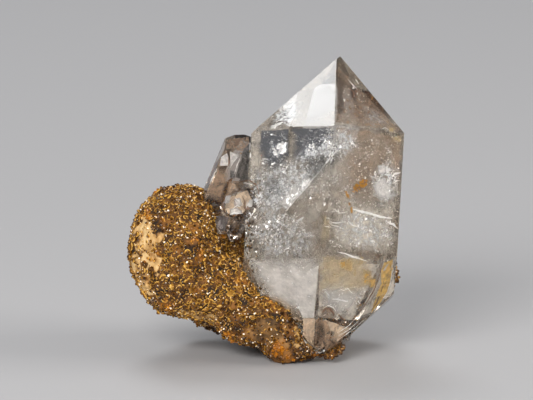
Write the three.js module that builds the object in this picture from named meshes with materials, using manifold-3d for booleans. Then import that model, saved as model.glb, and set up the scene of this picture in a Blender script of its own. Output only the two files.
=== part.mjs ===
// Clear, doubly terminated quartz crystals on a loose lump of iron-stained dolostone that is coated in
// fine quartz druse. Millimetres, +Z up. The rock rests on the plane z = 0 and the viewer is at -Y.
import * as THREE from "three";
import { ConvexGeometry } from "three/addons/geometries/ConvexGeometry.js";
import { ImprovedNoise } from "three/addons/math/ImprovedNoise.js";
import { MeshSurfaceSampler } from "three/addons/math/MeshSurfaceSampler.js";
import { mergeVertices } from "three/addons/utils/BufferGeometryUtils.js";
import Module from "manifold-3d";

const wasm = await Module();
wasm.setup();

// Angle between a termination face and the crystal's long axis, and the clear gap left between the rock
// and the crystals that grew on it
const FACE_SLOPE_DEG = 43.4;
const CONTACT_GAP = 0.3;

// Points nearer than MERGE_DISTANCE are one point, and a point may lie ON_FACE outside a face that it
// is a corner of. Three faces whose normals span less than FLAT_CORNER meet in no corner.
const MERGE_DISTANCE = 1e-4;
const ON_FACE = 1e-6;
const FLAT_CORNER = 1e-9;

// A distance that lies beyond every surface of the specimen
const FAR = 60;

// The six sides of a crystal, as turns about its long axis. The first is the front left one, and the
// others follow anticlockwise seen from above: front right, right, back right, back left, left.
const SIDE_TURNS_DEG = [-30, 30, 90, 150, 210, 270];
const FRONT_RIGHT = 1;

// The big crystal. sides are the distances of its six prism faces from its axis, and top and bottom the
// distances from its centre at which its termination faces would meet the axis. cuts are further faces,
// each by the way that it faces and its distance from the centre: here the lower left one and the upper
// right one, which are steeper than the others.
const BIG_CRYSTAL = {
  centre: [12.0, 0, 31.9],
  lean: { right: 3.6, back: 19, turn: 0 },
  sides: [15.8, 16.3, 15.8, 13.0, 12.5, 16.3],
  top: [31.0, 31.9, 36.0, 33.4, 31.6, 30.1],
  bottom: [30.3, 29.8, 34.8, 33.0, 31.6, 34.8],
  cuts: [
    { facing: [-0.8, -0.2, -0.56], distance: 22.0 },
    { facing: [0.766, 0, 0.643], distance: 21.7 },
  ],
};

// Growth ledges that step down to the big crystal's lower right edge. Each starts at its riser's
// distance from the crystal's centre and lies one step deeper than the ledge before it.
const LEDGES = {
  riser: [0.93, 0.1, -0.35],
  starts: [15.7, 16.7, 17.7, 18.6],
  step: 0.35,
};

// Two small crystals grown parallel to the big one, low on its front. Their lower ends are blunt wedges,
// and the narrow one stands out of the wide one.
const FOOT_CRYSTALS = [
  {
    centre: [11.7, -7.8, 7.1],
    lean: { right: 3.6, back: 19, turn: 0 },
    sides: [5.9, 4.4, 6.0, 5.2, 5.2, 4.6],
    top: [14, 14, 14, 14, 14, 14],
    bottom: [10.6, 10.2, 8.8, 10, 10, 10.6],
    cuts: [
      { facing: [-0.6, -0.2, -0.78], distance: 5.2 },
      { facing: [0.62, -0.1, -0.78], distance: 5.1 },
      { facing: [0, 0, -1], distance: 5.6 },
    ],
  },
  {
    centre: [11.7, -7.8, 7.1],
    lean: { right: 3.6, back: 19, turn: 0 },
    sides: [6.4, 4.9, 2.6, 2.0, 2.0, 4.2],
    top: [13, 13, 13, 13, 13, 13],
    bottom: [12, 12, 12, 12, 12, 12],
    cuts: [
      { facing: [-0.62, -0.2, -0.76], distance: 5.4 },
      { facing: [0.6, -0.2, -0.78], distance: 4.9 },
      { facing: [0, 0, -1], distance: 5.3 },
    ],
  },
];

// The smoky crystal behind the big one's left shoulder
const SMOKY_CRYSTAL = {
  centre: [-7.2, 4, 38.6],
  lean: { right: 25, back: 27, turn: 4 },
  sides: [4.1, 4.1, 4.6, 4.4, 3.8, 3.8],
  top: [6.8, 8.1, 9.5, 10.5, 10.9, 10.0],
  bottom: [14, 14, 14, 14, 14, 14],
};

// Three small crystals that fill the crook between the knob and the big crystal
const CROOK_CRYSTALS = [
  {
    centre: [-5.6, -8.6, 33.0],
    lean: { right: 36, back: 6, turn: 14 },
    sides: [3.0, 3.3, 3.2, 3.0, 3.1, 3.2],
    top: [5.6, 5.4, 5.8, 5.6, 5.5, 5.7],
    bottom: [5.8, 5.6, 5.5, 5.6, 5.8, 5.7],
  },
  {
    centre: [-7.9, -7.8, 30.1],
    lean: { right: 38, back: -4, turn: 40 },
    sides: [2.0, 2.2, 2.1, 2.0, 2.1, 2.2],
    top: [4.2, 4.3, 4.1, 4.2, 4.3, 4.0],
    bottom: [4.0, 4.1, 3.9, 4.1, 4.0, 4.2],
  },
  {
    centre: [-5.9, -9.4, 29.7],
    lean: { right: 25, back: 2, turn: 0 },
    sides: [1.4, 1.6, 1.5, 1.4, 1.5, 1.5],
    top: [4.4, 4.5, 4.4, 4.6, 4.4, 4.5],
    bottom: [4.3, 4.2, 4.4, 4.3, 4.2, 4.3],
  },
];

const SMALLER_CRYSTALS = [...FOOT_CRYSTALS, SMOKY_CRYSTAL, ...CROOK_CRYSTALS];

// The rock is one body blended from these ellipsoids, by centre and half sizes
const ROCK_LUMPS = {
  knob: { centre: [-19.0, -2, 22.6], half: [9.6, 11.0, 13.5] },
  shoulder: { centre: [-14.8, 0, 28.5], half: [3.8, 5.5, 5.8] },
  neck: { centre: [-11, -2, 14.6], half: [10, 10, 7.0] },
  sole: { centre: [-1, -4.5, 9.2], half: [10, 9, 6.4] },
  frontTip: { centre: [4.2, -8.2, 3.4], half: [5.0, 5.0, 4.2] },
  toe: { centre: [11.1, -8.0, 3.5], half: [5.2, 5.0, 2.6] },
  heel: { centre: [6.6, 2.5, 4.2], half: [10.2, 10.5, 6.4] },
  saddle: { centre: [-8, 10, 17], half: [13, 9, 15] },
  back: { centre: [7, 13, 20], half: [17, 8.5, 17] },
  rightBulge: { centre: [22.5, 9, 15.2], half: [5.6, 6, 5.6] },
};
const LUMP_SHARPNESS = 3;

// The point that the rock is measured out from, and the steps and halvings of the search for its surface
const ROCK_CENTRE = new THREE.Vector3(-7, 2, 16);
const ROCK_STEP = 0.5;
const ROCK_HALVINGS = 12;
const ROCK_DETAIL = 10;

// The faces along which the rock broke off behind, each by the way that it faces and its distance
// from the rock's centre
const BREAKS = [
  { facing: [0.15, 0.92, 0.36], distance: 18.5 },
  { facing: [-0.62, 0.78, 0.1], distance: 15.0 },
  { facing: [0.62, 0.74, -0.28], distance: 28.5 },
  { facing: [-0.1, 0.72, -0.68], distance: 16.0 },
  { facing: [0.8, 0.3, 0.52], distance: 31.0 },
  { facing: [-0.35, 0.6, 0.72], distance: 21.0 },
];

// Relief of the rock: wave lengths and heights of its layers of noise
const RELIEF = [
  { length: 8, height: 1.1 },
  { length: 3.1, height: 0.6 },
];

// The druse: small quartz points that stand on the rock. Sizes are radii, and the foot and height of a
// point are shares of its own size. Behind backStart only backShare of the points are left.
const DRUSE = {
  count: 270,
  smallest: 0.6,
  largest: 1.25,
  footWidth: 1.45,
  footDepth: 0.5,
  lowest: 0.8,
  spread: 0.4,
  seed: 20,
  spacing: 1.7,
  tilt: 0.45,
  backStart: 8,
  backShare: 0.35,
  lowestZ: 2.0,
};

const noise = new ImprovedNoise();

// A repeatable stream of numbers from 0 to 1
function randomStream(seed) {
  let state = seed;
  return () => {
    state = (state + 0x6d2b79f5) | 0;
    let t = Math.imul(state ^ (state >>> 15), 1 | state);
    t = (t + Math.imul(t ^ (t >>> 7), 61 | t)) ^ t;
    return ((t ^ (t >>> 14)) >>> 0) / 4294967296;
  };
}

// A geometry as a solid, by its positions alone
function solidOf(geometry) {
  const bare = geometry.clone();
  bare.deleteAttribute("normal");
  bare.deleteAttribute("uv");
  const merged = mergeVertices(bare, MERGE_DISTANCE);
  return new wasm.Manifold(
    new wasm.Mesh({
      numProp: 3,
      vertProperties: merged.attributes.position.array,
      triVerts: new Uint32Array(merged.index.array),
    }),
  );
}

// A solid as a geometry with flat faces
function geometryOf(solid) {
  const mesh = solid.getMesh();
  const shared = new THREE.BufferGeometry()
    .setAttribute("position", new THREE.BufferAttribute(mesh.vertProperties, 3))
    .setIndex(new THREE.BufferAttribute(mesh.triVerts, 1));
  const flat = shared.toNonIndexed();
  flat.computeVertexNormals();
  return flat;
}

// A name that is the same for points at the same place
const pointKey = (point) => point.toArray().map((v) => v.toFixed(4)).join();

// The point where three planes meet, or null where they don't
function meetingPoint(a, b, c) {
  const bc = new THREE.Vector3().crossVectors(b.normal, c.normal);
  const ca = new THREE.Vector3().crossVectors(c.normal, a.normal);
  const ab = new THREE.Vector3().crossVectors(a.normal, b.normal);
  const volume = a.normal.dot(bc);
  if (Math.abs(volume) < FLAT_CORNER) return null;
  return bc
    .multiplyScalar(-a.constant)
    .addScaledVector(ca, -b.constant)
    .addScaledVector(ab, -c.constant)
    .divideScalar(volume);
}

// The convex body that lies inside all the planes
function bodyInside(planes) {
  const corners = new Map();
  planes.forEach((a, i) =>
    planes.slice(i + 1).forEach((b, j) =>
      planes.slice(i + j + 2).forEach((c) => {
        const p = meetingPoint(a, b, c);
        if (p && planes.every((plane) => plane.distanceToPoint(p) < ON_FACE)) {
          corners.set(pointKey(p), p);
        }
      }),
    ),
  );
  return new ConvexGeometry([...corners.values()]);
}

// A plane that faces along normal, at a distance from the origin
const planeAt = (normal, distance) => new THREE.Plane(normal, -distance);

// The ways that a crystal's side and the two termination faces beyond it face
function waysOut(turnDeg) {
  const turn = THREE.MathUtils.degToRad(turnDeg);
  const slope = THREE.MathUtils.degToRad(FACE_SLOPE_DEG);
  const side = new THREE.Vector3(Math.sin(turn), -Math.cos(turn), 0);
  const up = side.clone().multiplyScalar(Math.cos(slope)).setZ(Math.sin(slope));
  const down = up.clone().setZ(-Math.sin(slope));
  return { side, up, down, rise: Math.sin(slope) };
}

// The faces of a quartz crystal about its own centre: six sides, six faces at each end, and its cuts,
// all moved out by grow
function quartzFaces({ sides, top, bottom, cuts = [] }, grow) {
  const habit = SIDE_TURNS_DEG.flatMap((turnDeg, i) => {
    const { side, up, down, rise } = waysOut(turnDeg);
    return [
      planeAt(side, sides[i] + grow),
      planeAt(up, top[i] * rise + grow),
      planeAt(down, bottom[i] * rise + grow),
    ];
  });
  const extra = cuts.map(({ facing, distance }) => {
    return planeAt(new THREE.Vector3(...facing).normalize(), distance + grow);
  });
  return [...habit, ...extra];
}

// Where a crystal stands: turned about its own axis, leant back, leant right, then moved to its centre
function placing({ centre, lean }) {
  const [right, back, turn] = [lean.right, -lean.back, lean.turn].map(THREE.MathUtils.degToRad);
  return new THREE.Matrix4()
    .makeTranslation(...centre)
    .multiply(new THREE.Matrix4().makeRotationY(right))
    .multiply(new THREE.Matrix4().makeRotationX(back))
    .multiply(new THREE.Matrix4().makeRotationZ(turn));
}

const crystalSolid = (crystal, grow = 0) =>
  solidOf(bodyInside(quartzFaces(crystal, grow)).applyMatrix4(placing(crystal)));

// What the ledges take off the big crystal: wedges beyond each riser and above each ledge
function ledgeCuts() {
  const riser = new THREE.Vector3(...LEDGES.riser).normalize();
  const { down, rise } = waysOut(SIDE_TURNS_DEG[FRONT_RIGHT]);
  const face = BIG_CRYSTAL.bottom[FRONT_RIGHT] * rise;
  const along = new THREE.Vector3().crossVectors(riser, down).normalize();
  const wedges = LEDGES.starts.map((start, i) => {
    const planes = [
      planeAt(riser.clone().negate(), -start),
      planeAt(down.clone().negate(), LEDGES.step * (i + 1) - face),
      planeAt(riser, FAR),
      planeAt(down, FAR),
      planeAt(along, FAR),
      planeAt(along.clone().negate(), FAR),
    ];
    return solidOf(bodyInside(planes).applyMatrix4(placing(BIG_CRYSTAL)));
  });
  return wasm.Manifold.union(wedges);
}

// How far inside the rock's blended lumps a point is: above zero inside, and zero on the surface
function depthInRock(point) {
  const total = Object.values(ROCK_LUMPS).reduce((sum, { centre, half }) => {
    const [x, y, z] = half.map((h, i) => (point.getComponent(i) - centre[i]) / h);
    return sum + Math.exp(-LUMP_SHARPNESS * (x * x + y * y + z * z - 1));
  }, 0);
  return total - 1;
}

// The distance from the rock's centre to its surface in a direction, with the rock's relief added
function rockRadius(direction) {
  const at = (distance) => ROCK_CENTRE.clone().addScaledVector(direction, distance);
  let outside = FAR;
  while (depthInRock(at(outside - ROCK_STEP)) < 0) outside -= ROCK_STEP;
  let inside = outside - ROCK_STEP;
  for (let halving = 0; halving < ROCK_HALVINGS; halving++) {
    const middle = (inside + outside) / 2;
    if (depthInRock(at(middle)) < 0) outside = middle;
    else inside = middle;
  }
  const whole = BREAKS.reduce((radius, { facing, distance }) => {
    const toward = direction.dot(new THREE.Vector3(...facing).normalize());
    return toward > 0 ? Math.min(radius, distance / toward) : radius;
  }, inside);
  const surface = at(whole);
  return RELIEF.reduce(
    (radius, { length, height }) =>
      radius + height * noise.noise(...surface.clone().divideScalar(length).toArray()),
    whole,
  );
}

// The bare rock: a ball whose points are moved out along their own directions to the rock's surface
function rockGeometry() {
  const ball = new THREE.IcosahedronGeometry(1, ROCK_DETAIL);
  const position = ball.getAttribute("position");
  const surface = new Map();
  for (let i = 0; i < position.count; i++) {
    const direction = new THREE.Vector3().fromBufferAttribute(position, i).normalize();
    const key = pointKey(direction);
    if (!surface.has(key)) {
      surface.set(key, ROCK_CENTRE.clone().addScaledVector(direction, rockRadius(direction)));
    }
    position.setXYZ(i, ...surface.get(key).toArray());
  }
  ball.computeVertexNormals();
  return ball;
}

// One point of the druse: a six-sided pyramid whose foot is hidden in the rock
function drusePoint(size, random) {
  const height = size * (DRUSE.footDepth + DRUSE.lowest + DRUSE.spread * random());
  return new THREE.ConeGeometry(size * DRUSE.footWidth, height, SIDE_TURNS_DEG.length)
    .toNonIndexed()
    .translate(0, height / 2 - size * DRUSE.footDepth, 0)
    .rotateX(Math.PI / 2);
}

// The druse that covers the rock. It is thick in front, thin behind, and keeps off the resting face
function druseSolids(rock) {
  const random = randomStream(DRUSE.seed);
  const sampler = new MeshSurfaceSampler(new THREE.Mesh(rock)).setRandomGenerator(random).build();
  const placed = [];
  const solids = [];
  while (solids.length < DRUSE.count) {
    const spot = new THREE.Vector3();
    const normal = new THREE.Vector3();
    sampler.sample(spot, normal);
    const skipped = spot.y > DRUSE.backStart && random() > DRUSE.backShare;
    const crowded = placed.some((other) => other.distanceTo(spot) < DRUSE.spacing);
    if (skipped || crowded || spot.z < DRUSE.lowestZ) continue;
    placed.push(spot);
    const size = DRUSE.smallest + (DRUSE.largest - DRUSE.smallest) * random() ** 2;
    const tilted = new THREE.Vector3(random() - 0.5, random() - 0.5, random() - 0.5)
      .multiplyScalar(2 * DRUSE.tilt)
      .add(normal)
      .normalize();
    const stand = new THREE.Quaternion().setFromUnitVectors(new THREE.Vector3(0, 0, 1), tilted);
    const place = new THREE.Matrix4().compose(spot, stand, new THREE.Vector3(1, 1, 1));
    solids.push(solidOf(drusePoint(size, random).applyMatrix4(place)));
  }
  return solids;
}

// The half of space below the resting face, as a slab large enough to hold the rock
function belowFloor() {
  const slab = new THREE.BoxGeometry(4 * FAR, 4 * FAR, FAR);
  return solidOf(slab.translate(0, 0, -FAR / 2));
}

// The largest of a solid's separate bodies
function largestBody(solid) {
  return solid.decompose().reduce((best, body) => (body.volume() > best.volume() ? body : best));
}

function quartzGeometry() {
  const big = crystalSolid(BIG_CRYSTAL).subtract(ledgeCuts());
  const smaller = SMALLER_CRYSTALS.map((crystal) => crystalSolid(crystal));
  return geometryOf(wasm.Manifold.union([big, ...smaller]));
}

function matrixGeometry() {
  const rock = rockGeometry();
  const coated = wasm.Manifold.union([solidOf(rock), ...druseSolids(rock)]);
  const grown = [BIG_CRYSTAL, ...SMALLER_CRYSTALS].map((each) => crystalSolid(each, CONTACT_GAP));
  const room = wasm.Manifold.union(grown);
  return geometryOf(largestBody(coated.subtract(room).subtract(belowFloor())));
}

function namedMesh(name, geometry, material) {
  const mesh = new THREE.Mesh(geometry, new THREE.MeshStandardMaterial(material));
  mesh.name = name;
  return mesh;
}

const specimen = new THREE.Group();
specimen.add(
  namedMesh("quartz_crystals", quartzGeometry(), {
    color: 0xd9d5ce,
    roughness: 0.06,
    metalness: 0,
    transparent: true,
    opacity: 0.6,
  }),
  namedMesh("matrix", matrixGeometry(), { color: 0x9a6a2c, roughness: 0.7, metalness: 0 }),
);

// The origin is at the middle of the specimen's box, on the surface that it rests on
const extent = new THREE.Box3().setFromObject(specimen);
const middle = extent.getCenter(new THREE.Vector3());
specimen.position.set(-middle.x, -middle.y, -extent.min.z);

export default specimen;
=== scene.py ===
"""The looks of a clear quartz specimen: a doubly terminated crystal and smaller smoky ones, grown on a lump
of iron-stained rock that is coated in fine brown druse. Metres, +Z up, and the viewer is at -Y."""

import itertools
import math
import random
from collections import namedtuple

import bmesh
import bpy
import numpy as np
from mathutils import Matrix, Quaternion, Vector, noise
from mathutils.bvhtree import BVHTree


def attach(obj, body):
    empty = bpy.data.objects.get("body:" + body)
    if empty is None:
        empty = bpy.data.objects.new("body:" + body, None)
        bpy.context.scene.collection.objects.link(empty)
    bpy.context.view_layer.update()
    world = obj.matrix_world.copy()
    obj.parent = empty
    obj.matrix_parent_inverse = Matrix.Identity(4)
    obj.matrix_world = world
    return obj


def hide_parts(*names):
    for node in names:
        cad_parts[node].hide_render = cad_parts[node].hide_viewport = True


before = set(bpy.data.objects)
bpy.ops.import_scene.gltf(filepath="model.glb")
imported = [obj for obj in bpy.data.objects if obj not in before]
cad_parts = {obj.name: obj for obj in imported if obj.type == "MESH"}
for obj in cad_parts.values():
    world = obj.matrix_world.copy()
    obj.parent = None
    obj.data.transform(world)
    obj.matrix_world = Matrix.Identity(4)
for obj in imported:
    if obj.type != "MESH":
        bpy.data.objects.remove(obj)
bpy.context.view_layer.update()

MM = 0.001
BODY = "root"
QUARTZ_NODE = "quartz_crystals"
ROCK_NODE = "matrix"

# The photograph's frame and the scale at which it shows the specimen
PHOTO_WIDTH = 533
PHOTO_HEIGHT = 400
PIXELS_PER_MM = 4.74

# The camera looks along +Y and down on the specimen, with a long lens
CAMERA_ELEVATION = math.radians(12)
CAMERA_DISTANCE = 2.0
CAMERA_AIM = Vector((0.21, -0.29, 32.88)) * MM
SENSOR_WIDTH_MM = 36
CLIP_START = 0.1
CLIP_END = 50
CAMERA_RIGHT = Vector((1, 0, 0))
CAMERA_FORWARD = Vector((0, math.cos(CAMERA_ELEVATION), -math.sin(CAMERA_ELEVATION)))
CAMERA_UP = Vector((0, math.sin(CAMERA_ELEVATION), math.cos(CAMERA_ELEVATION)))
CAMERA_PLACE = CAMERA_AIM - CAMERA_FORWARD * CAMERA_DISTANCE

# The key light is a softbox behind the specimen at the left. The upper left face mirrors its edge at one
# pixel and a place within it at the other. It fades out over a share of its width.
KEY_EDGE_PIXEL = (269, 121)
KEY_INNER_PIXEL = (332, 90)
KEY_DISTANCE = 0.9
KEY_SIZE = 0.36
KEY_FADE = 0.01
KEY_POWER = 2.75
KEY_COLOUR = (0.96, 0.98, 1.0)

# The other lights, each by its place, the direction of its width, its size, power and colour
FRONT_LIGHT = CAMERA_AIM + Vector((-0.4, -1.0, 0.62))
SOFT_WHITE = (1.0, 0.975, 0.95)
LIGHTS = {
    "right": (CAMERA_AIM + Vector((0.95, -0.1, 0.4)), Vector((0, 1, 0)), (0.5, 0.6), 6, (1.0, 0.97, 0.93)),
    "front": (FRONT_LIGHT, CAMERA_RIGHT, (0.7, 0.5), 15.4, SOFT_WHITE),
    "low": (CAMERA_AIM + Vector((0.25, -1.0, 0.02)), CAMERA_RIGHT, (0.8, 0.16), 5.5, SOFT_WHITE),
}
WORLD_BELOW = (0.16, 0.16, 0.17)
WORLD_ABOVE = (0.55, 0.55, 0.56)
WORLD_STRENGTH = 0.58
FLOOR_RADIUS = 6
FLOOR_SIDES = 96
FLOOR_COLOUR = (0.46, 0.46, 0.47, 1)

# How often light may bounce, go through clear faces and go through sheets
BOUNCES = 20
CLEAR_BOUNCES = 16
SHEET_BOUNCES = 32

QUARTZ_IOR = 1.544
QUARTZ_COLOUR = (0.97, 0.955, 0.935, 1)
QUARTZ_ABSORPTION = (0.72, 0.64, 0.52)
QUARTZ_DENSITY = 18

# The big crystal's own faces are those of the quartz over an area, right of and above the smaller crystals
BIG_FACE_AREA = 28 * MM * MM
BIG_FACE_LEFT = -4.2 * MM
BIG_FACE_LOW = 6.8 * MM

# Points closer than MERGED are one, faces within FLAT_ANGLE of each other are one face, and three planes
# with a determinant under PARALLEL meet in no corner. ON_PLANE is the slack that a corner has.
MERGED = 1e-6
FLAT_ANGLE = math.radians(0.6)
PARALLEL = 1e-4
ON_PLANE = 1e-7

# Veils: healed cracks in the big crystal, each a curved sheet of small bright flakes. fade says how fast the
# flakes thin out from the first side to the third, and glints is the share that mirror the front light.
# largest is the size of the largest ones and bend how far the sheet swings out of its plane, both in mm.
# Corners are pixels of the photograph with a depth behind the front face in mm, going round the sheet.
Veil = namedtuple("Veil", "flakes fade glints largest bend corners")
VEILS = [
    Veil(3000, 1.3, 0.12, 0.36, 1.6, [(352, 132, 3), (287, 209, 2), (270, 190, 3), (318, 134, 4)]),
    Veil(1800, 0.8, 0.1, 0.36, 1.6, [(300, 152, 2), (256, 166, 2), (250, 212, 3), (284, 210, 3)]),
    Veil(1500, 0.2, 0.1, 0.36, 1.6, [(340, 112, 3), (398, 136, 2), (396, 166, 3), (340, 160, 4)]),
    Veil(1300, 0.6, 0.5, 0.42, 0.1, [(346, 142, 0.6), (286, 212, 0.6), (277, 207, 0.7), (334, 142, 0.7)]),
    Veil(900, 0.4, 0.6, 0.5, 0.1, [(311, 179, 0.6), (286, 211, 0.6), (275, 205, 0.7), (300, 176, 0.7)]),
    Veil(1600, 0.9, 0.2, 0.36, 0.15, [(333, 144, 0.7), (280, 210, 0.7), (258, 200, 0.8), (306, 150, 0.8)]),
    Veil(260, 0.1, 0.75, 0.75, 0.1, [(272, 146, 0.6), (285, 142, 0.6), (286, 153, 0.6), (273, 155, 0.6)]),
    Veil(150, 0.1, 0.3, 0.3, 0.1, [(261, 131, 0.6), (288, 131, 0.6), (288, 146, 0.6), (261, 146, 0.6)]),
    Veil(320, 0.1, 0.2, 0.4, 0.1, [(260, 158, 0.7), (288, 156, 0.7), (288, 172, 0.7), (258, 174, 0.7)]),
    Veil(420, 0.1, 0.3, 0.45, 0.1, [(306, 144, 0.7), (333, 140, 0.7), (334, 156, 0.7), (300, 160, 0.7)]),
    Veil(260, 0.1, 0.2, 0.3, 0.1, [(294, 130, 0.7), (333, 128, 0.7), (333, 143, 0.7), (294, 146, 0.7)]),
    Veil(520, 0.1, 0.6, 0.6, 0.1, [(374, 170, 0.7), (389, 165, 0.7), (391, 199, 0.7), (378, 202, 0.7)]),
    Veil(200, 0.1, 0.25, 0.4, 0.1, [(384, 170, 0.6), (399, 168, 0.5), (398, 190, 0.5), (384, 186, 0.6)]),
    Veil(400, 0.2, 0.2, 0.4, 0.1, [(337, 130, 0.8), (358, 130, 0.8), (352, 160, 0.8), (336, 162, 0.8)]),
    Veil(500, 0.1, 0.1, 0.32, 0.1, [(250, 166, 0.7), (262, 160, 0.7), (270, 206, 0.7), (250, 204, 0.7)]),
    Veil(1400, 0.1, 0.035, 0.34, 0.2, [(318, 160, 0.8), (346, 146, 0.8), (346, 214, 0.8), (290, 214, 0.8)]),
    Veil(900, 0.1, 0.06, 0.34, 0.2, [(346, 140, 0.8), (398, 140, 0.8), (398, 166, 0.8), (346, 170, 0.8)]),
    Veil(500, 0.1, 0.05, 0.3, 0.2, [(346, 170, 0.8), (372, 166, 0.8), (376, 206, 0.8), (346, 206, 0.8)]),
    Veil(1600, 0.2, 0.07, 0.36, 0.2, [(246, 214, 0.8), (300, 214, 0.8), (312, 252, 0.8), (246, 254, 0.8)]),
    Veil(1400, 0.2, 0.06, 0.36, 0.2, [(328, 206, 0.8), (396, 222, 0.7), (392, 252, 0.8), (328, 246, 0.8)]),
    Veil(700, 0.2, 0.05, 0.3, 0.02, [(250, 262, 0.2), (314, 262, 0.2), (310, 300, 0.2), (262, 292, 0.2)]),
    Veil(700, 0.2, 0.07, 0.36, 0.1, [(322, 282, 0.5), (372, 284, 0.5), (350, 312, 0.5), (320, 308, 0.5)]),
    Veil(200, 0.2, 0.12, 0.4, 0.1, [(273, 123, 0.5), (294, 105, 0.5), (297, 124, 0.5), (270, 127, 0.5)]),
    Veil(500, 0.2, 0.06, 0.32, 0.1, [(342, 76, 0.7), (362, 90, 0.7), (372, 118, 0.7), (344, 118, 0.7)]),
    Veil(200, 0.1, 0.12, 0.3, 0.02, [(262, 288, 0.1), (300, 300, 0.1), (304, 318, 0.1), (280, 314, 0.1)]),
]

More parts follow.
